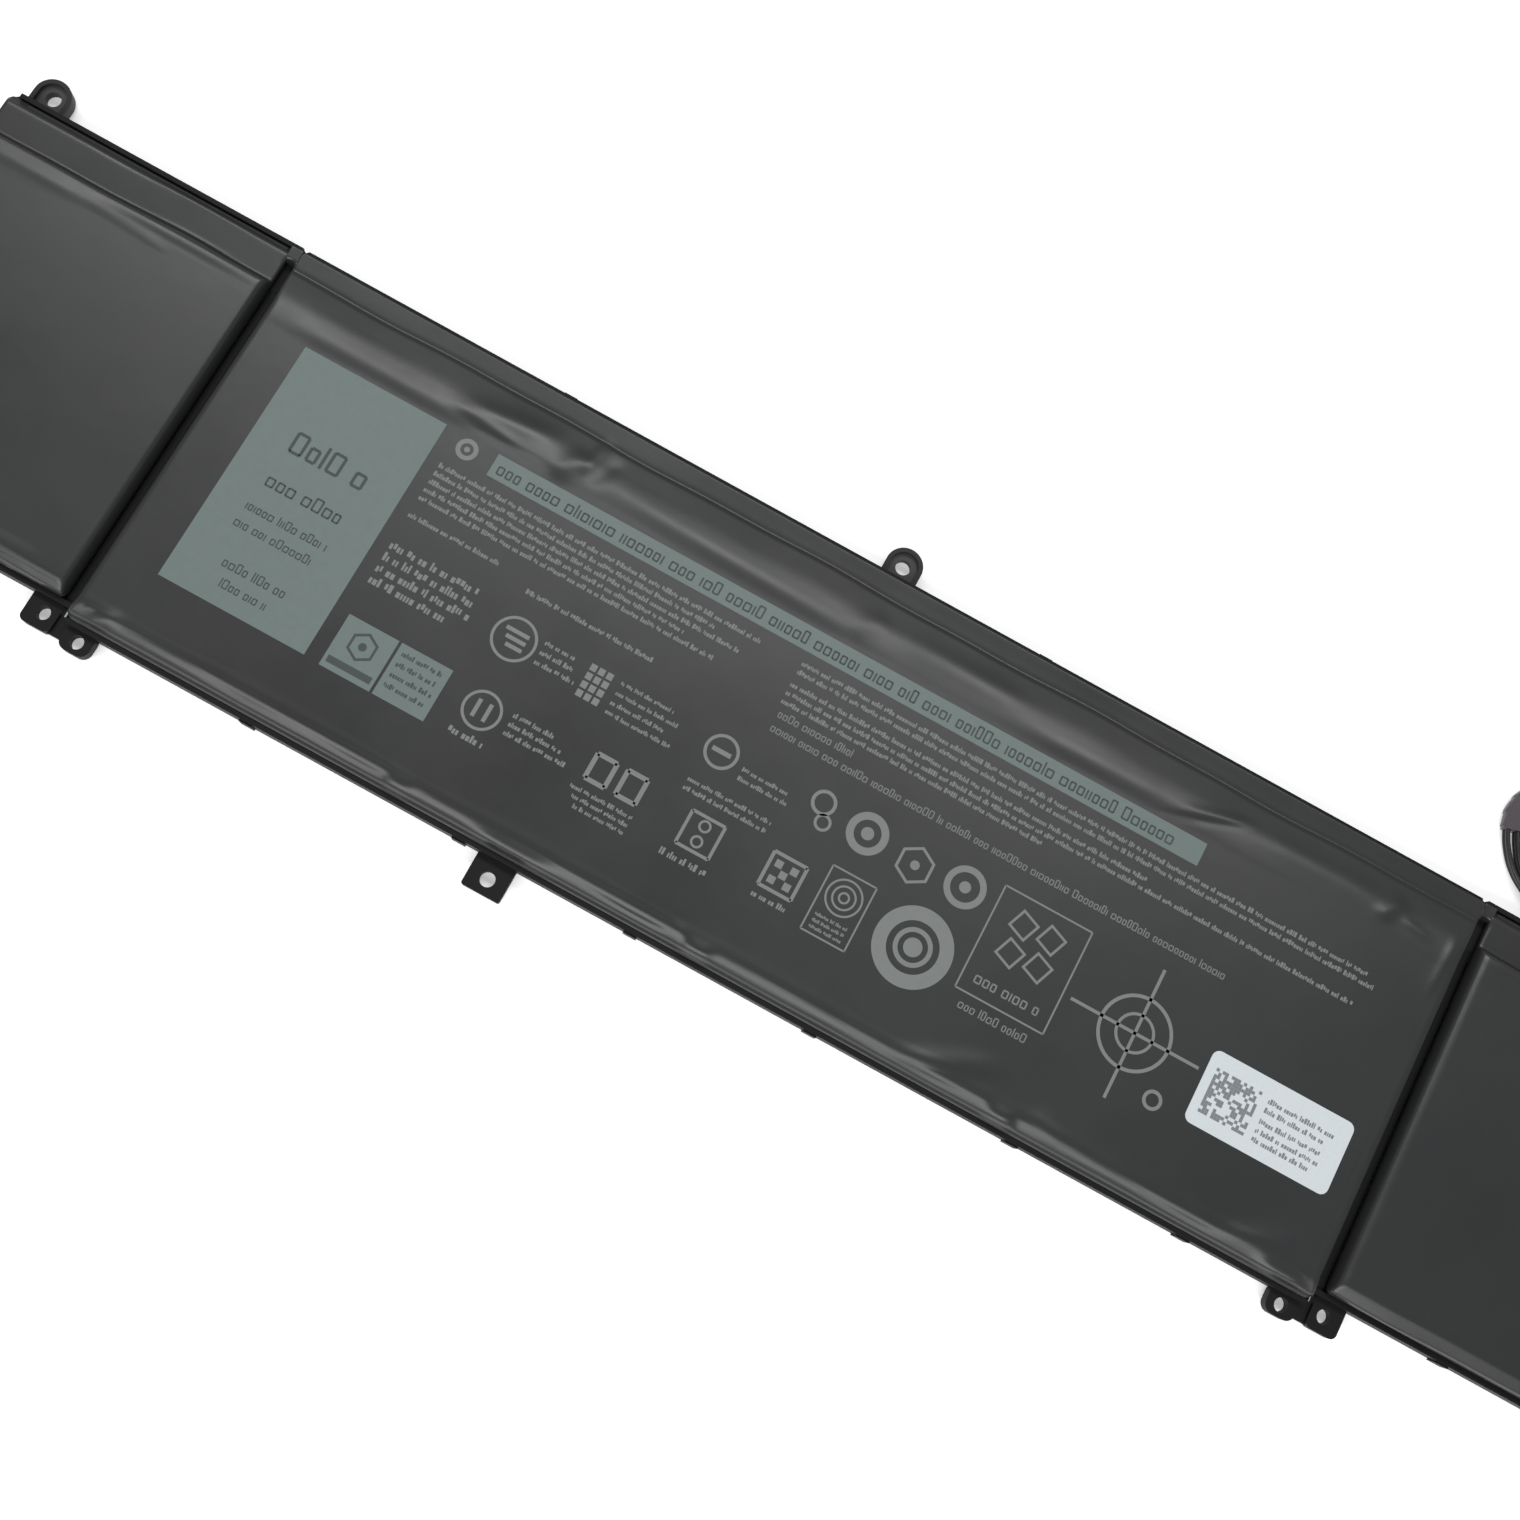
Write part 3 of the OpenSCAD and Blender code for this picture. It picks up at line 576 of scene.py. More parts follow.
middle_section = {
    "pouches": (-35, 25.8),
    "sides": (-111.7, 111.7),
    "columns": stations([(-113.8, 0.3, -109), (-109, 0.8, 109), (109, 0.3, 113.8)]),
    "rows": stations([(-36.3, 0.15, -31), (-31, 1.2, 19), (19, 0.35, 31.4), (31.4, 0.1, 33.2),
                      (33.2, 0.3, 36.3)]),
    "across": rounded_profile([(-36.3, 4.56), (-36, 4.58), (-35.85, 4.75), (-35.75, 5.4),
                               (-35.6, 5.9), (-35.4, 6.22), (-35, 6.52), (-34.5, 6.83),
                               (-34, 7.08), (-33.5, 7.28), (-33, 7.4), (-32.3, 7.46),
                               (-30.8, 7.4), (22.2, 7.41), (23.4, 7.44), (24.4, 7.42),
                               (25.6, 7.35), (26.6, 7.24), (27.4, 7.12), (28.2, 6.97),
                               (31.9, 6.18), (32.25, 6.02), (32.5, 5.79), (32.8, 5.83),
                               (33.2, 5.9), (36.3, 6.08)], 0.16 * mm),
    "along": rounded_profile([(-113.8, 5.2), (-113.4, 6.4), (-112.9, 7.1), (-112.1, 7.47),
                              (112.1, 7.47), (112.9, 7.1), (113.4, 6.4), (113.8, 5.2)], 0.2 * mm),
    # middle, half length, half width, turn in degrees, rise
    "folds": [((-91, 24.2), 15, 1.5, 0, 0.11), ((-69, 27.4), 8, 1.7, 8, 0.2),
              ((-72, 25), 6, 0.9, -5, 0.09), ((-66, 23.4), 8, 0.7, 0, -0.05),
              ((-56.4, 25.8), 3.2, 1.7, 58, 0.3), ((-53.4, 29.2), 3.2, 0.9, 80, 0.34),
              ((-50.8, 27.6), 3, 1.2, 70, -0.24), ((-25, 24.8), 24, 1.6, -1.5, 0.13),
              ((0, 26.6), 3, 1.8, 40, 0.12), ((18, 27.4), 11, 2, 0, 0.14),
              ((45, 24.6), 16, 1.7, 1, 0.12), ((64, 24.5), 8.5, 0.6, 20, -0.08),
              ((66, 26.4), 6, 1, 15, 0.15), ((86, 27.4), 11, 2, 0, 0.14),
              ((98.8, 27), 2.6, 1.3, 55, 0.2), ((104, 26), 2.6, 0.8, -10, 0.1),
              ((110.6, 23), 5, 0.9, 85, 0.12), ((40, 36.8), 70, 2.4, 0, 0.12),
              ((-33, -35.3), 7, 1.1, 0, 0.45), ((0.5, -35.2), 2.6, 1.4, 0, 0.7),
              ((-4, -34), 1.6, 1, 60, 0.14), ((-54, -35), 2.2, 1.3, 0, 0.45),
              ((-108, -34.6), 3, 1.1, 35, 0.3), ((43, -31.4), 9, 1.6, 22, 0.22),
              ((55.6, -35.1), 2.4, 1.4, 0, 0.7), ((63, -32.6), 3, 1.4, -20, 0.12),
              ((101, -31.8), 6, 1.6, 18, 0.18), ((107, -35.2), 4, 1.2, 0, 0.6)],
}
end_left_section = {
    "pouches": (-33.2, 27.6),
    "sides": (-168.8, -116.4),
    "columns": stations([(-169.8, 0.3, -165), (-165, 0.8, -120), (-120, 0.3, -115.4)]),
    "rows": stations([(-33.95, 0.15, -29), (-29, 1.2, 20), (20, 0.3, 27.6), (27.6, 0.12, 29.6),
                      (29.6, 0.5, 34.4), (34.4, 0.14, 36)]),
    "across": rounded_profile([(-33.95, 4.5), (-33.9, 5), (-33.75, 6), (-33.5, 6.38),
                               (-31.6, 7.35), (-31.1, 7.43), (-30.2, 7.45), (-29, 7.4),
                               (22, 7.4), (24.5, 7.42), (25.6, 7.41), (26.8, 7.35), (27.9, 7.22),
                               (28.3, 7), (28.7, 6.3), (28.95, 5.8), (29.3, 5.72), (34.6, 6.02),
                               (34.9, 5.88), (35.3, 5.6), (36, 5.3)], 0.14 * mm),
    "along": rounded_profile([(-169.8, 5.2), (-169.4, 6.3), (-168.9, 7), (-168.1, 7.46),
                              (-117, 7.46), (-116.3, 7), (-115.8, 6.3), (-115.4, 5.2)], 0.2 * mm),
    "folds": [((-158, 25.4), 10, 1, 0, 0.06), ((-140, 25.2), 8, 1.1, -5, 0.05),
              ((-129.5, 28.9), 4.6, 0.4, 0, 0.16), ((-131, 27.6), 15, 1.1, 0, 0.14),
              ((-135, -31), 12, 1.3, 0, 0.05), ((-119.5, -31.5), 3, 2, 20, -0.06)],
}
end_right_section = {
    "pouches": end_left_section["pouches"],
    "sides": (116.4, 168.8),
    "columns": [-x for x in reversed(end_left_section["columns"])],
    "rows": end_left_section["rows"],
    "across": end_left_section["across"],
    "along": (-end_left_section["along"][0][::-1], end_left_section["along"][1][::-1]),
    "folds": [((146, 25.8), 20, 1.2, 1, 0.06), ((124, 27.8), 8, 1.2, 0, 0.12),
              ((143, -31), 22, 1.3, 0, 0.05)],
}
pressed_film("film_middle", "top_film_middle", middle_section)
pressed_film("film_left", "top_film_left", end_left_section)
pressed_film("film_right", "top_film_right", end_right_section)


# ---- Seam bridges and slot covers ----
# Where the film crosses the two seams it stays whole over the rail, as a short tongue of
# the same film with a curved lip. Past the lip, a strip of sheet covers the board; it is
# coloured near-black, darker than the board cover, as painted shade deep in the slot.

bridge_profile = rounded_profile([(33.6, 4.2), (33.9, 5.5), (34.25, 5.95), (36.3, 6.09)], 0.12 * mm)
bridge_arch = 0.4 * mm
bridge_thickness = 0.08 * mm


def seam_bridge(name, side):
    left, right = 113.5 * mm, 115.7 * mm
    bottom, top = 33.6 * mm, 36.3 * mm
    bm = bmesh.new()
    bmesh.ops.create_grid(bm, x_segments=12, y_segments=30, size=1)
    for vertex in bm.verts:
        across = vertex.co.x
        x = side * (left + (right - left) * (across + 1) / 2)
        y = bottom + (top - bottom) * (vertex.co.y + 1) / 2
        arch = bridge_arch * across ** 2
        vertex.co = (x, y, float(np.interp(y + arch, *bridge_profile)))
    bmesh.ops.recalc_face_normals(bm, faces=bm.faces)
    piece = finished_sheet(name, bm, film_satin, bridge_thickness, -1)
    piece.data.shade_smooth()
    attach(piece, "root")


# Near-black, darker than the board cover: painted shade at the bottom of the seam slots.
slot_painted_shade = soft_sheet("slot_painted_shade", (0.003, 0.003, 0.003), 0.85, 0.4 * mm, 0.03 * mm, 0)
cover_thickness = 0.1 * mm
cover_sag = 0.1 * mm


def slot_shade_cover(name, side):
    """The sheet at the bottom of a slot, over the board, coloured near-black as painted shade. It sags a
    little between its edges.
    """
    middle_x, middle_y, edge_z = side * 114.6 * mm, 30.2 * mm, 3.4 * mm
    half_width, half_length = 1.5 * mm, 4 * mm
    bm = bmesh.new()
    bmesh.ops.create_grid(bm, x_segments=4, y_segments=16, size=1)
    for vertex in bm.verts:
        x, y = vertex.co.x, vertex.co.y
        vertex.co = (middle_x + half_width * x, middle_y + half_length * y,
                     edge_z - cover_sag * (1 - x * x))
    bmesh.ops.recalc_face_normals(bm, faces=bm.faces)
    piece = finished_sheet(name, bm, slot_painted_shade, cover_thickness, -1)
    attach(piece, "root")


slot_shade_cover("slot_shade_cover_left", -1)
slot_shade_cover("slot_shade_cover_right", 1)
seam_bridge("seam_bridge_left", -1)
seam_bridge("seam_bridge_right", 1)


# ---- Printing on the film ----
# Screen-printed ink, a few hundredths of a millimetre thick, in three greys: pale panels,
# pale lines and signs, and dark lines on the panels. Rows of plain blocks stand for the
# small print, and rings, frames and bars of no meaning stand for the marks.

def ink(name, colour, roughness):
    material = bpy.data.materials.new(name)
    material.use_nodes = True
    tree = material.node_tree
    tree.nodes.clear()
    place = tree.nodes.new("ShaderNodeTexCoord")
    place.label = "Place on the print"
    laydown = tree.nodes.new("ShaderNodeTexNoise")
    laydown.label = "Uneven laydown"
    tone = tree.nodes.new("ShaderNodeMix")
    tone.label = "Thin and thick ink"
    relief = tree.nodes.new("ShaderNodeBump")
    relief.label = "Dried skin"
    surface = tree.nodes.new("ShaderNodeBsdfPrincipled")
    surface.label = "Screen ink"
    finish = tree.nodes.new("ShaderNodeOutputMaterial")
    finish.label = "Ink"
    for column, node in enumerate((place, laydown, tone, relief, surface, finish)):
        node.location = (220 * column, 0)
    group = tree.nodes.new("NodeFrame")
    group.label = "Laydown"
    for member in (laydown, tone, relief):
        member.parent = group
    laydown.inputs["Scale"].default_value = 700
    laydown.inputs["Detail"].default_value = 5
    tone.data_type = "RGBA"
    tone.inputs["A"].default_value = (*[0.93 * c for c in colour], 1)
    tone.inputs["B"].default_value = (*[1.06 * c for c in colour], 1)
    relief.inputs["Strength"].default_value = 0.25
    relief.inputs["Distance"].default_value = 0.01 * mm
    surface.inputs["Roughness"].default_value = roughness
    surface.inputs["Specular IOR Level"].default_value = 0.35
    tree.links.new(place.outputs["Object"], laydown.inputs["Vector"])
    tree.links.new(laydown.outputs["Fac"], tone.inputs["Factor"])
    tree.links.new(laydown.outputs["Fac"], relief.inputs["Height"])
    tree.links.new(tone.outputs["Result"], surface.inputs["Base Color"])
    tree.links.new(relief.outputs["Normal"], surface.inputs["Normal"])
    tree.links.new(surface.outputs["BSDF"], finish.inputs["Surface"])
    return material


def panel(bm, left, bottom, right, top, spacing=2):
    """A printed rectangle, cut small enough to follow the film. Sizes are in millimetres."""
    middle = Matrix.Translation(((left + right) / 2 * mm, (bottom + top) / 2 * mm, 0))
    size = Matrix.Diagonal(((right - left) / 2 * mm, (top - bottom) / 2 * mm, 1, 1))
    bmesh.ops.create_grid(bm, x_segments=max(1, round((right - left) / spacing)),
                          y_segments=max(1, round((top - bottom) / spacing)), size=1,
                          matrix=middle @ size)


def ring(bm, x, y, radius, line, sides=40, spin=0.0):
    """A printed ring, or a frame with few sides, of a line's width inside its radius."""
    place = Matrix.Translation((x * mm, y * mm, 0)) @ Matrix.Rotation(spin, 4, "Z")
    outer = bmesh.ops.create_circle(bm, segments=sides, radius=radius * mm, matrix=place)
    inner = bmesh.ops.create_circle(bm, segments=sides, radius=(radius - line) * mm, matrix=place)
    edges = {edge for vertex in outer["verts"] + inner["verts"] for edge in vertex.link_edges}
    bmesh.ops.bridge_loops(bm, edges=list(edges))


def disc(bm, x, y, radius):
    bmesh.ops.create_circle(bm, cap_ends=True, segments=24, radius=radius * mm,
                            matrix=Matrix.Translation((x * mm, y * mm, 0)))


def bar(bm, start, end, line):
    """A printed straight line from one point to another."""
    start, end = Vector((*start, 0)) * mm, Vector((*end, 0)) * mm
    run = end - start
    turn = Matrix.Rotation(math.atan2(run.y, run.x), 4, "Z")
    size = Matrix.Diagonal((run.length / 2, line / 2 * mm, 1, 1))
    bmesh.ops.create_grid(bm, x_segments=max(1, round(run.length / (2 * mm))), y_segments=1, size=1,
                          matrix=Matrix.Translation((start + end) / 2) @ turn @ size)


def outline(bm, left, bottom, right, top, line):
    for start, end in (((left, bottom), (right, bottom)), ((right, bottom), (right, top)),
                       ((right, top), (left, top)), ((left, top), (left, bottom))):
        bar(bm, start, end, line)


def small_print(bm, left, right, y, height, seed, longest=9):
    """A row of plain blocks in groups, as wide as a line of small print."""
    draw = random.Random(seed)
    stroke = 0.3 * height
    x = left
    while x < right - stroke:
        for _ in range(draw.randint(2, longest)):
            if x > right - stroke:
                break
            tall = height * draw.choice((0.66, 0.66, 0.66, 1))
            low = y + height * draw.choice((0, 0, 0, 0.2)) * (tall < height)
            wide = stroke * draw.choice((0.8, 1.1, 1.5))
            panel(bm, x, low, x + wide, low + tall)
            x += wide + 0.4 * stroke
        x += 0.42 * height


def large_print(bm, left, right, y, height, seed, longest=7):
    """A row of thin upright frames and bars in groups, for the larger lines."""
    draw = random.Random(seed)
    stroke = 0.13 * height
    x = left
    while x < right - 0.4 * height:
        for _ in range(draw.randint(3, longest)):
            if x > right - 0.4 * height:
                break
            tall = height * draw.choice((0.7, 0.7, 0.7, 1))
            wide = height * draw.choice((0.12, 0.5, 0.56, 0.62))
            if wide < 0.2 * height:
                panel(bm, x, y, x + stroke, y + tall, 0.5)
                wide = stroke
            else:
                half = stroke / 2
                outline(bm, x + half, y + half, x + wide - half, y + tall - half, stroke)
            x += wide + 0.15 * height
        x += 0.4 * height


def printed(name, bm, material, lift):
    """Lays flat artwork on the middle film and gives it its thickness."""
    places = np.array([vertex.co for vertex in bm.verts])
    heights = film_height(places[:, 0], places[:, 1], middle_section)
    for vertex, height in zip(bm.verts, heights):
        vertex.co.z = height + lift
    for face in bm.faces:
        if face.normal.z < 0:
            face.normal_flip()
    piece = finished_sheet(name, bm, material, ink_thickness, 1)
    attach(piece, "root")


ink_lift = 0.02 * mm
ink_thickness = 0.015 * mm
print_height = 0.9

panels = bmesh.new()
panel(panels, -104.1, -23.6, -77.4, 21.5)
panel(panels, -67.5, 17.2, 66.5, 21.4)
panel(panels, -74.6, -23.8, -65.4, -14.2)
panel(panels, -64.9, -23.8, -55.5, -14.2)
printed("printed_panels", panels, ink("panel_ink", (0.117, 0.149, 0.143), 0.5), ink_lift)

signs = bmesh.new()
ring(signs, -72.4, 19.4, 1.9, 0.8, 28)
disc(signs, -72.4, 19.4, 0.5)
for k, y in enumerate((14.4, 12.8, 11.2, 9.6, 8)):
    small_print(signs, -75, (-14.5, -22, -17, -26, -20)[k], y, print_height, 10 + k)
for k, y in enumerate((4.6, 2.8)):
    small_print(signs, -75 if k == 0 else -52, (-58, -28)[k], y, print_height, 20 + k)
for k, y in enumerate((-1.6, -3.8, -6, -8.2)):
    small_print(signs, -74.9, -58 - 3 * (k == 3), y, 1.5, 30 + k, 5)
for k, y in enumerate((14.6, 13, 10.6, 9, 7.4)):
    small_print(signs, -6.8, (100, 102, 60, 99.5, 42)[k], y, print_height, 40 + k)
large_print(signs, -6.2, 78.8, 2.4, 1.4, 50, 9)
large_print(signs, -6.2, 8, 5, 1.4, 51, 6)

# Upper row of signs
sign_y = -4.8
ring(signs, -49.7, sign_y, 3.9, 0.5)
for k in range(3):
    bar(signs, (-51.8 + 0.6 * k, sign_y + 1.3 - 1.3 * k), (-47.6, sign_y + 1.3 - 1.3 * k), 0.7)
for k in range(3):
    small_print(signs, -45, -39.5 + k, sign_y + 1.6 - 1.8 * k, 0.9, 60 + k, 5)
draw = random.Random(7)
for row in range(4):
    for column in range(3):
        if draw.random() < 0.75:
            panel(signs, -36.7 + 1.5 * column, sign_y + 1.6 - 1.6 * row, -35.6 + 1.5 * column,
                  sign_y + 2.8 - 1.6 * row)
for k in range(4):
    small_print(signs, -31, -21 + 2 * (k % 2), sign_y + 1.8 - 1.8 * k, 0.8, 70 + k, 8)
ring(signs, -11.3, sign_y + 0.2, 3, 0.55)
bar(signs, (-13, sign_y + 0.2), (-9.6, sign_y + 0.2), 0.8)
for k in range(2):
    small_print(signs, -7, 2, sign_y - 1 - 1.6 * k, 0.8, 80 + k, 6)
ring(signs, 7.3, sign_y + 1, 2.2, 0.6, 20)
ring(signs, 8.6, sign_y - 2, 1.5, 0.5, 16)
ring(signs, 15.9, sign_y, 3.6, 1.3)
disc(signs, 15.9, sign_y, 1.1)
ring(signs, 25.1, sign_y - 0.8, 3.4, 0.55, 6)
disc(signs, 25.1, sign_y - 0.8, 0.8)
ring(signs, 34, sign_y, 3.6, 1.1)
disc(signs, 34, sign_y, 1)

# Lower row of signs
low_y = -17.6
ring(signs, -48.3, low_y, 3.4, 0.5)
bar(signs, (-49.3, low_y - 1.6), (-49.3, low_y + 1.6), 0.7)
bar(signs, (-47.3, low_y - 1.6), (-47.3, low_y + 1.6), 0.7)
small_print(signs, -51.5, -45, low_y - 5.6, 1.3, 90, 5)
for k in range(3):
    small_print(signs, -43.5, -36 + 2 * k, low_y + 1.4 - 1.6 * k, 0.9, 91 + k, 6)
outline(signs, -28.6, low_y - 1.5, -25, low_y + 3, 0.8)
outline(signs, -23, low_y - 1.5, -19.4, low_y + 3, 0.8)
for k in range(3):
    small_print(signs, -30 + k, -18.6, low_y - 4 - 1.4 * k, 0.8, 95 + k, 7)
outline(signs, -10.8, low_y - 3.6, -4.8, low_y + 2.4, 0.55)
ring(signs, -7.8, low_y + 0.9, 1.1, 0.4, 16)
ring(signs, -7.8, low_y - 1.9, 1.1, 0.4, 16)
small_print(signs, -12.4, -3.4, low_y - 6.4, 1.2, 100, 4)
for k in range(2):
    small_print(signs, -14, 1.4, low_y + 6.2 - 1.6 * k, 0.8, 101 + k, 7)
outline(signs, 4, low_y - 3, 10, low_y + 3, 0.6)
for x, y in ((5.6, 1.4), (8.4, 1.4), (7, 0), (5.6, -1.4), (8.4, -1.4)):
    panel(signs, x - 0.65, low_y + y - 0.65, x + 0.65, low_y + y + 0.65)
small_print(signs, 3.8, 10.4, low_y - 5.2, 1, 104, 6)
outline(signs, 13.4, low_y - 6, 21.4, low_y + 5.6, 0.3)
for k in range(3):
    ring(signs, 17.4, low_y + 1.6, 3.2 - 1.1 * k, 0.35)
for k in range(3):
    small_print(signs, 14.4, 20.4, low_y - 3 - 1.1 * k, 0.6, 110 + k, 9)
ring(signs, 30.9, low_y, 6.8, 2.4, 56)
ring(signs, 30.9, low_y, 3.3, 0.8, 32)
disc(signs, 30.9, low_y, 1.6)

# Framed block, and the large target beside it
outline(signs, 39.8, -19.8, 55.9, -1.2, 0.3)
for quarter in range(4):
    angle = math.pi / 4 + quarter * math.pi / 2
    ring(signs, 47.9 + 3.6 * math.cos(angle), -8.2 + 3.6 * math.sin(angle), 2.7, 0.6, 4, 0.4)
large_print(signs, 42, 54, -17.8, 2, 120, 4)
large_print(signs, 41.5, 54.5, -22.6, 1.5, 121, 6)
ring(signs, 69.2, -12.4, 6.4, 0.6, 48)
ring(signs, 69.2, -12.4, 3.4, 0.5, 32)
bar(signs, (57.4, -12.4), (81, -12.4), 0.55)
bar(signs, (69.2, -24), (69.2, -0.8), 0.55)
ring(signs, 76.4, -20.6, 1.7, 0.6, 20)
printed("printed_signs", signs, ink("sign_ink", (0.155, 0.165, 0.16), 0.55), ink_lift)

dark_print = bmesh.new()
large_print(dark_print, -97.4, -83.8, 4.4, 4, 202, 5)
large_print(dark_print, -97.6, -83.2, -2.4, 2.5, 201, 9)
large_print(dark_print, -98.2, -83, -7.3, 1.6, 212, 8)
large_print(dark_print, -98.4, -83, -10.6, 1.6, 203, 7)
large_print(dark_print, -96.4, -84.2, -17.4, 1.7, 204, 5)
large_print(dark_print, -95, -86, -20.6, 1.6, 205, 4)
large_print(dark_print, -66.4, 61, 18.1, 2.3, 206, 8)
ring(dark_print, -70, -18, 2.6, 0.5, 6)
disc(dark_print, -70, -18, 0.7)
panel(dark_print, -74, -22.8, -66, -21.6)
for k in range(4):
    small_print(dark_print, -64, -56.6, -16.2 - 1.9 * k, 0.9, 207 + k, 6)
printed("printed_dark", dark_print, ink("dark_ink", (0.042, 0.053, 0.051), 0.6), 2 * ink_lift)


# ---- Data label ----
# A small white paper label with round corners, stuck to the film after printing. It
# carries a block of squares and five rows of fine print from a label printer.

def label_paper(name):
    material = bpy.data.materials.new(name)
    material.use_nodes = True
    tree = material.node_tree
    tree.nodes.clear()
    place = tree.nodes.new("ShaderNodeTexCoord")
    place.label = "Place on the label"
    fibres = tree.nodes.new("ShaderNodeTexNoise")
    fibres.label = "Paper fibres"
    relief = tree.nodes.new("ShaderNodeBump")
    relief.label = "Fibre relief"
    tone = tree.nodes.new("ShaderNodeMix")
    tone.label = "Cool white, a little cloudy"
    surface = tree.nodes.new("ShaderNodeBsdfPrincipled")
    surface.label = "Coated paper"
    finish = tree.nodes.new("ShaderNodeOutputMaterial")
    finish.label = "Label"
    for column, node in enumerate((place, fibres, relief, tone, surface, finish)):
        node.location = (220 * column, 0)
    group = tree.nodes.new("NodeFrame")
    group.label = "Fibres"
    for member in (fibres, relief, tone):
        member.parent = group
    fibres.inputs["Scale"].default_value = 1500
    fibres.inputs["Detail"].default_value = 6
    relief.inputs["Strength"].default_value = 0.2
    relief.inputs["Distance"].default_value = 0.01 * mm
    tone.data_type = "RGBA"
    tone.inputs["A"].default_value = (0.48, 0.52, 0.535, 1)
    tone.inputs["B"].default_value = (0.54, 0.58, 0.595, 1)
    surface.inputs["Roughness"].default_value = 0.45
    tree.links.new(place.outputs["Object"], fibres.inputs["Vector"])
    tree.links.new(fibres.outputs["Fac"], relief.inputs["Height"])
    tree.links.new(fibres.outputs["Fac"], tone.inputs["Factor"])
    tree.links.new(tone.outputs["Result"], surface.inputs["Base Color"])
    tree.links.new(relief.outputs["Normal"], surface.inputs["Normal"])
    tree.links.new(surface.outputs["BSDF"], finish.inputs["Surface"])
    return material


label_low, label_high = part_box("data_sticker")
label_thickness = 0.07 * mm
label_corner = 1.3 * mm
label_gap = 0.01 * mm
label_ink_lift = 0.015 * mm
bm = bmesh.new()
bmesh.ops.create_grid(bm, x_segments=40, y_segments=20, size=1)
for vertex in bm.verts:
    x = label_low.x + (label_high.x - label_low.x) * (vertex.co.x + 1) / 2
    y = label_low.y + (label_high.y - label_low.y) * (vertex.co.y + 1) / 2
    x, y = rounded_corner(x, y, label_low, label_high, label_corner)
    vertex.co = (x, y, float(film_height(x, y, middle_section)) + label_gap)
bmesh.ops.recalc_face_normals(bm, faces=bm.faces)
label = finished_sheet("data_label", bm, label_paper("label_paper"), label_thickness, 1)
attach(label, "root")
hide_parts("data_sticker")

label_print = bmesh.new()
draw = random.Random(31)
module = 0.56
for row in range(14):
    for column in range(15):
        if draw.random() < 0.56:
            x, y = 83.7 + module * column, -18.6 + module * row
            panel(label_print, x, y, x + 0.96 * module, y + 0.96 * module)
for k, y in enumerate((-12, -13.6, -15.6, -17.2, -18.7)):
    small_print(label_print, 93.5, (105.6, 104.2, 104.8, 105.2, 103.8)[k], y, 0.9, 300 + k, 7)
printed("label_print", label_print, ink("label_ink", (0.16, 0.175, 0.185), 0.6),
        label_thickness + label_ink_lift)


# ---- Bottom film ----
# A flat sheet of the same polyester, matt, that closes the underside. It is stuck to the
# frame and to the adhesive under the cells.

give("bottom_film", satin_film("matt_film", (0.017, 0.017, 0.018), (0.015, 0.016, 0.017), 0.55))


# ---- Lead ----
# Six thin stranded wires in black insulation, soldered to the board. They leave through
# a notch in the wall in one row, gather into two layers and run to the plug.

def wire_jacket(name):
    material = bpy.data.materials.new(name)
    material.use_nodes = True
    tree = material.node_tree
    tree.nodes.clear()
    place = tree.nodes.new("ShaderNodeTexCoord")
    place.label = "Place on the wire"
    drag = tree.nodes.new("ShaderNodeTexNoise")
    drag.label = "Extrusion drag"
    relief = tree.nodes.new("ShaderNodeBump")
    relief.label = "Slight drag lines"
    gloss = tree.nodes.new("ShaderNodeMapRange")
    gloss.label = "Uneven gloss"
    surface = tree.nodes.new("ShaderNodeBsdfPrincipled")
    surface.label = "Black insulation"
    finish = tree.nodes.new("ShaderNodeOutputMaterial")
    finish.label = "Wire"
    for column, node in enumerate((place, drag, relief, gloss, surface, finish)):
        node.location = (220 * column, 0)
    group = tree.nodes.new("NodeFrame")
    group.label = "Drag"
    for member in (drag, relief, gloss):
        member.parent = group
    drag.inputs["Scale"].default_value = 1400
    relief.inputs["Strength"].default_value = 0.2
    relief.inputs["Distance"].default_value = 0.01 * mm
    gloss.inputs["To Min"].default_value = 0.26
    gloss.inputs["To Max"].default_value = 0.42
    surface.inputs["Base Color"].default_value = (0.009, 0.009, 0.009, 1)
    tree.links.new(place.outputs["Object"], drag.inputs["Vector"])
    tree.links.new(drag.outputs["Fac"], relief.inputs["Height"])
    tree.links.new(drag.outputs["Fac"], gloss.inputs["Value"])
    tree.links.new(gloss.outputs["Result"], surface.inputs["Roughness"])
    tree.links.new(relief.outputs["Normal"], surface.inputs["Normal"])
    tree.links.new(surface.outputs["BSDF"], finish.inputs["Surface"])
    return material


wire_count = 6
wire_diameter = 0.9 * mm
layer_pitch = 1
contact_pitch = 2
# x, y, z, how far the wires are gathered from one row into two layers, spacing of the row
lead_route = [(126.8, 34.7, 3.75, 0, 1.3), (126.8, 37.4, 3.75, 0, 1.3),
              (126.5, 39.4, 3.4, 0.15, 1.3), (125.3, 41.6, 2.7, 0.45, 1.25),
              (123.3, 43.2, 1.9, 0.8, 1.25), (120.9, 44.4, 1.35, 1, 1.3),
              (118.6, 46.2, 1.25, 1, 1.4), (116.5, 49.1, 1.4, 1, 1.7),
              (115.2, 51.9, 1.5, 1, 1.8), (114.5, 54.6, 1.5, 1, 1.8),
              (115.3, 57.6, 1.5, 1, 1.8), (117.6, 60.2, 1.5, 1, 1.7),
              (121.4, 62.4, 1.5, 0.9, 1.5), (126.6, 63.8, 1.55, 0.4, 1.8),
              (131.8, 64, 1.6, 0, contact_pitch), (137, 64, 1.6, 0, contact_pitch)]


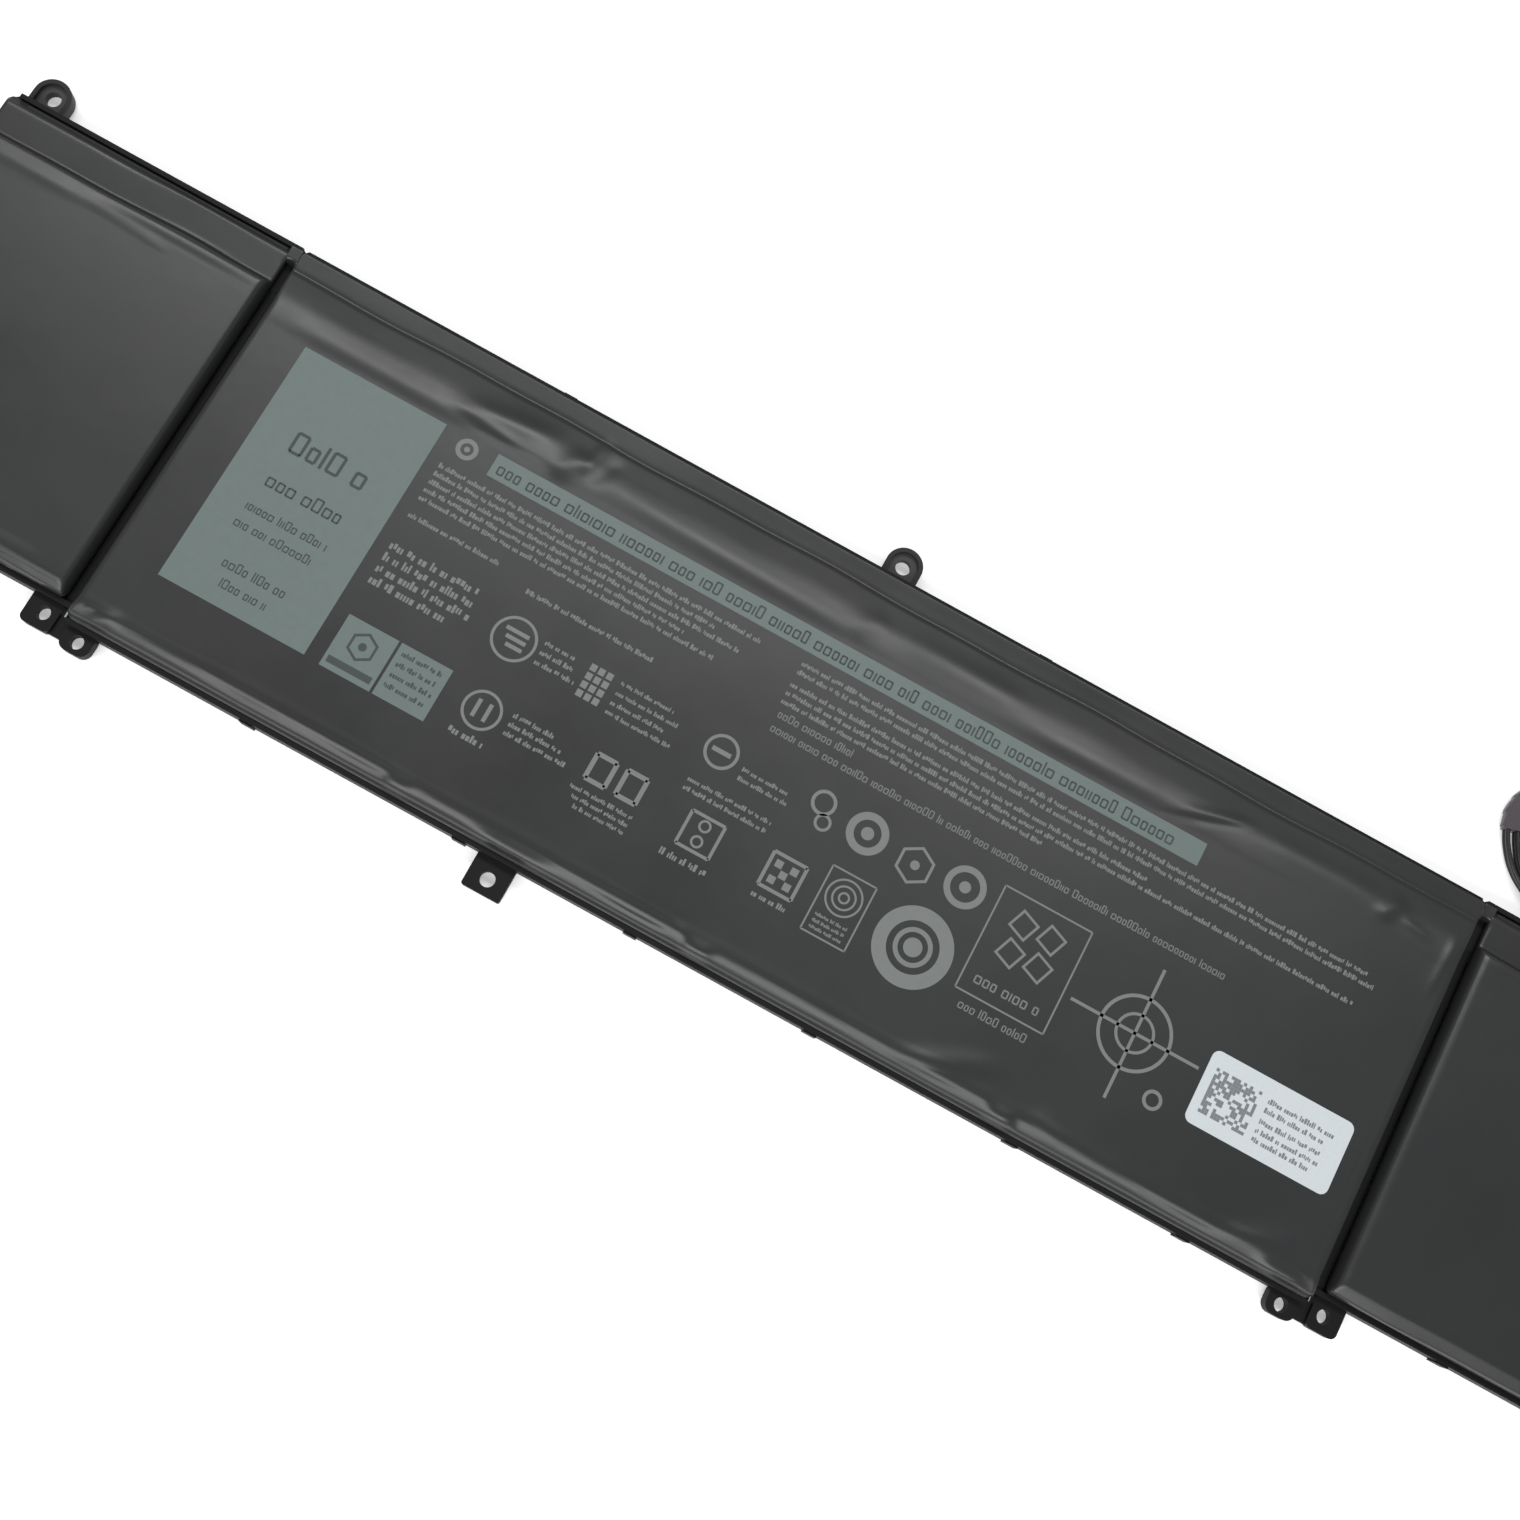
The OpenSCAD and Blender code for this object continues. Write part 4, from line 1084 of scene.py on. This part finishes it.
def wire_point(wire, k):
    x, y, z, gathered, pitch = lead_route[k]
    after = lead_route[min(k + 1, len(lead_route) - 1)]
    before = lead_route[max(k - 1, 0)]
    heading = Vector((after[0] - before[0], after[1] - before[1])).normalized()
    turn = math.radians(90 * gathered)
    pair, half = wire // 2 - 1, wire % 2 - 0.5
    spread = pitch * (pair * (2 - gathered) + half * math.cos(turn))
    return Vector((x + heading.y * spread, y - heading.x * spread,
                   z + half * layer_pitch * math.sin(turn))) * mm


jacket = wire_jacket("wire_jacket")
for wire in range(wire_count):
    points = [wire_point(wire, k) for k in range(len(lead_route))]
    curve = bpy.data.curves.new(f"lead_wire_{wire + 1}", "CURVE")
    curve.dimensions = "3D"
    curve.bevel_depth = wire_diameter / 2
    curve.bevel_resolution = 4
    curve.resolution_u = 8
    curve.use_fill_caps = True
    spline = curve.splines.new("BEZIER")
    spline.bezier_points.add(len(points) - 1)
    for knot, point in zip(spline.bezier_points, points):
        knot.co = point
        knot.handle_left_type = "AUTO"
        knot.handle_right_type = "AUTO"
    curve.materials.append(jacket)
    piece = bpy.data.objects.new(f"lead_wire_{wire + 1}", curve)
    bpy.context.scene.collection.objects.link(piece)
    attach(piece, "root")
    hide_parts(f"wire_{wire + 1}")


# ---- Wrap ----
# Black cloth tape wound round the six wires where they bend, each turn half over the
# one before. The tape has a fine weave, and its edge shows as a ridge at each turn.

def cloth_tape(name):
    material = bpy.data.materials.new(name)
    material.use_nodes = True
    tree = material.node_tree
    tree.nodes.clear()
    place = tree.nodes.new("ShaderNodeTexCoord")
    place.label = "Place on the wrap"
    warp = tree.nodes.new("ShaderNodeTexWave")
    warp.label = "Threads one way"
    weft = tree.nodes.new("ShaderNodeTexWave")
    weft.label = "Threads the other way"
    weave = tree.nodes.new("ShaderNodeMath")
    weave.label = "Weave"
    relief = tree.nodes.new("ShaderNodeBump")
    relief.label = "Threads stand up"
    # The gaps between the raised threads are coloured darker: painted shade between the threads.
    tone = tree.nodes.new("ShaderNodeMix")
    tone.label = "Painted shade between the threads"
    surface = tree.nodes.new("ShaderNodeBsdfPrincipled")
    surface.label = "Cloth tape"
    finish = tree.nodes.new("ShaderNodeOutputMaterial")
    finish.label = "Wrap"
    for column, node in enumerate((place, warp, weft, weave, relief, tone, surface, finish)):
        node.location = (220 * column, 0)
    group = tree.nodes.new("NodeFrame")
    group.label = "Weave"
    for member in (warp, weft, weave, relief, tone):
        member.parent = group
    warp.inputs["Scale"].default_value = 900
    weft.bands_direction = "Y"
    weft.inputs["Scale"].default_value = 900
    weave.operation = "MAXIMUM"
    relief.inputs["Strength"].default_value = 0.6
    relief.inputs["Distance"].default_value = 0.04 * mm
    tone.data_type = "RGBA"
    tone.inputs["A"].default_value = (0.012, 0.010, 0.012, 1)
    tone.inputs["B"].default_value = (0.06, 0.05, 0.06, 1)
    surface.inputs["Roughness"].default_value = 0.7
    surface.inputs["Sheen Weight"].default_value = 0.3
    tree.links.new(place.outputs["Object"], warp.inputs["Vector"])
    tree.links.new(place.outputs["Object"], weft.inputs["Vector"])
    tree.links.new(warp.outputs["Fac"], weave.inputs[0])
    tree.links.new(weft.outputs["Fac"], weave.inputs[1])
    tree.links.new(weave.outputs["Value"], relief.inputs["Height"])
    tree.links.new(weave.outputs["Value"], tone.inputs["Factor"])
    tree.links.new(relief.outputs["Normal"], surface.inputs["Normal"])
    tree.links.new(tone.outputs["Result"], surface.inputs["Base Color"])
    tree.links.new(surface.outputs["BSDF"], finish.inputs["Surface"])
    return material


wrap_route = [(115.5, 51.2), (114.5, 54.6), (115.3, 57.6), (116.5, 58.95), (118.4, 60.65)]
wrap_z = 1.5 * mm
wrap_half_width = 2.7 * mm
wrap_half_height = 1.35 * mm
wrap_sides = 28
wrap_rings = 56
wrap_turns = 5
ridge = 0.1 * mm


corner_power = 0.62
floor_clearance = 0.02 * mm
wrap_bend = 0.9
wrap_points = np.array(wrap_route)
wrap_run = np.concatenate(([0], np.cumsum(np.linalg.norm(np.diff(wrap_points, axis=0), axis=1))))
wrap_steps = np.linspace(0, wrap_run[-1], 80)
wrap_line = np.column_stack([np.interp(wrap_steps, wrap_run, wrap_points[:, axis]) for axis in (0, 1)])


def wrap_spot(s):
    """Point on the wrap's middle line, a distance along it. Both are in millimetres."""
    weights = np.exp(-0.5 * ((wrap_steps - s) / wrap_bend) ** 2)
    return (wrap_line * weights[:, None]).sum(0) / weights.sum()


def along_wrap(t):
    """Point and heading on the wrap's middle line, for t from 0 to 1."""
    here = wrap_spot(t * wrap_run[-1])
    ahead = wrap_spot(t * wrap_run[-1] + 0.05) - wrap_spot(t * wrap_run[-1] - 0.05)
    return here * mm, ahead / np.linalg.norm(ahead)


bm = bmesh.new()
first = bmesh.ops.create_circle(bm, segments=wrap_sides, radius=1)
rings = [list(first["verts"])]
edges = list(bm.edges)
for _ in range(wrap_rings - 1):
    grown = bmesh.ops.extrude_edge_only(bm, edges=edges)["geom"]
    fresh = [g for g in grown if isinstance(g, bmesh.types.BMVert)]
    edges = [g for g in grown if isinstance(g, bmesh.types.BMEdge) and all(v in fresh for v in g.verts)]
    rings.append([next(edge.other_vert(vertex) for edge in vertex.link_edges
                       if edge.other_vert(vertex) in fresh) for vertex in rings[-1]])
for k, loop in enumerate(rings):
    t = k / (wrap_rings - 1)
    (x, y), (hx, hy) = along_wrap(t)
    for i, vertex in enumerate(loop):
        angle = 2 * math.pi * i / wrap_sides
        wound = (t * wrap_turns + i / wrap_sides) % 1
        swell = 1 + (ridge / wrap_half_height) * (1 - wound)
        u, w = (half * swell * math.copysign(abs(part) ** corner_power, part)
                for half, part in ((wrap_half_width, math.cos(angle)), (wrap_half_height, math.sin(angle))))
        vertex.co = (x + hy * u, y - hx * u, max(wrap_z + w, floor_clearance))
bmesh.ops.holes_fill(bm, edges=[e for e in bm.edges if e.is_boundary], sides=0)
bmesh.ops.recalc_face_normals(bm, faces=bm.faces)
mesh = bpy.data.meshes.new("lead_wrap")
bm.to_mesh(mesh)
bm.free()
mesh.shade_smooth()
mesh.materials.append(cloth_tape("cloth_tape"))
wrap = bpy.data.objects.new("lead_wrap", mesh)
bpy.context.scene.collection.objects.link(wrap)
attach(wrap, "root")
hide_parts("wire_wrap")


# ---- Plug ----
# A flat nylon housing with six cavities and a finger rest, pushed onto the wires'
# crimped contacts. It plugs into a header on the equipment's board.

give("plug_housing", moulded_plastic("plug_nylon", (0.012, 0.012, 0.012), 0.42, 0.15 * mm, 0.01 * mm))


# ---- Floor, light and camera ----
# A plain pale floor under a soft overcast light. A long narrow softbox stands on the ear
# side towards the left end, and a larger one on the bracket side. The floor gives off a
# little light, which keeps the shadows round the pack faint.

def pale_floor(name):
    material = bpy.data.materials.new(name)
    material.use_nodes = True
    tree = material.node_tree
    surface = tree.nodes["Principled BSDF"]
    surface.label = "Matt white board"
    surface.inputs["Base Color"].default_value = (0.9, 0.9, 0.9, 1)
    surface.inputs["Roughness"].default_value = 0.9
    surface.inputs["Specular IOR Level"].default_value = 0
    surface.inputs["Emission Color"].default_value = (1, 1, 1, 1)
    surface.inputs["Emission Strength"].default_value = 0.35
    return material


bm = bmesh.new()
floor_half_size = 12
floor_drop = 0.15 * mm
bmesh.ops.create_grid(bm, x_segments=1, y_segments=1, size=floor_half_size)
bmesh.ops.translate(bm, verts=bm.verts, vec=(0, 0, -floor_drop))
mesh = bpy.data.meshes.new("floor")
bm.to_mesh(mesh)
bm.free()
mesh.materials.append(pale_floor("pale_floor"))
floor = bpy.data.objects.new("floor", mesh)
bpy.context.scene.collection.objects.link(floor)

world = bpy.data.worlds.new("overcast")
world.use_nodes = True
sky = world.node_tree.nodes["Background"]
sky.inputs["Color"].default_value = (0.98, 0.99, 1, 1)
sky.inputs["Strength"].default_value = 0.42
bpy.context.scene.world = world


def softbox(name, place, aim, length, width, power):
    light = bpy.data.lights.new(name, "AREA")
    light.shape = "RECTANGLE"
    light.size = length
    light.size_y = width
    light.energy = power
    lamp = bpy.data.objects.new(name, light)
    lamp.location = place
    lamp.rotation_euler = (Vector(aim) - Vector(place)).to_track_quat("-Z", "Y").to_euler()
    bpy.context.scene.collection.objects.link(lamp)


softbox("ridge_softbox", (-0.25, 0.56, 1.1), (-0.25, 0, 0), 1.34, 0.25, 7.7)
softbox("shoulder_softbox", (0, -0.95, 0.95), (0, 0, 0), 1.4, 0.8, 15)

camera_target = Vector((-5.2, -2.3, 5.5)) * mm
camera_distance = 286.5 * mm
camera_tilt = math.radians(12)
camera_pan = math.radians(-0.1)
camera_roll = math.radians(28.83)
turn = (Matrix.Rotation(camera_tilt, 4, "X") @ Matrix.Rotation(camera_pan, 4, "Y")
        @ Matrix.Rotation(camera_roll, 4, "Z"))
lens = bpy.data.cameras.new("camera")
lens.sensor_width = 36
lens.lens = 41.4
lens.clip_start = 0.01
camera = bpy.data.objects.new("camera", lens)
camera.matrix_world = Matrix.Translation(camera_target + turn @ Vector((0, 0, camera_distance))) @ turn
bpy.context.scene.collection.objects.link(camera)
bpy.context.scene.camera = camera
bpy.context.scene.view_settings.view_transform = "Standard"
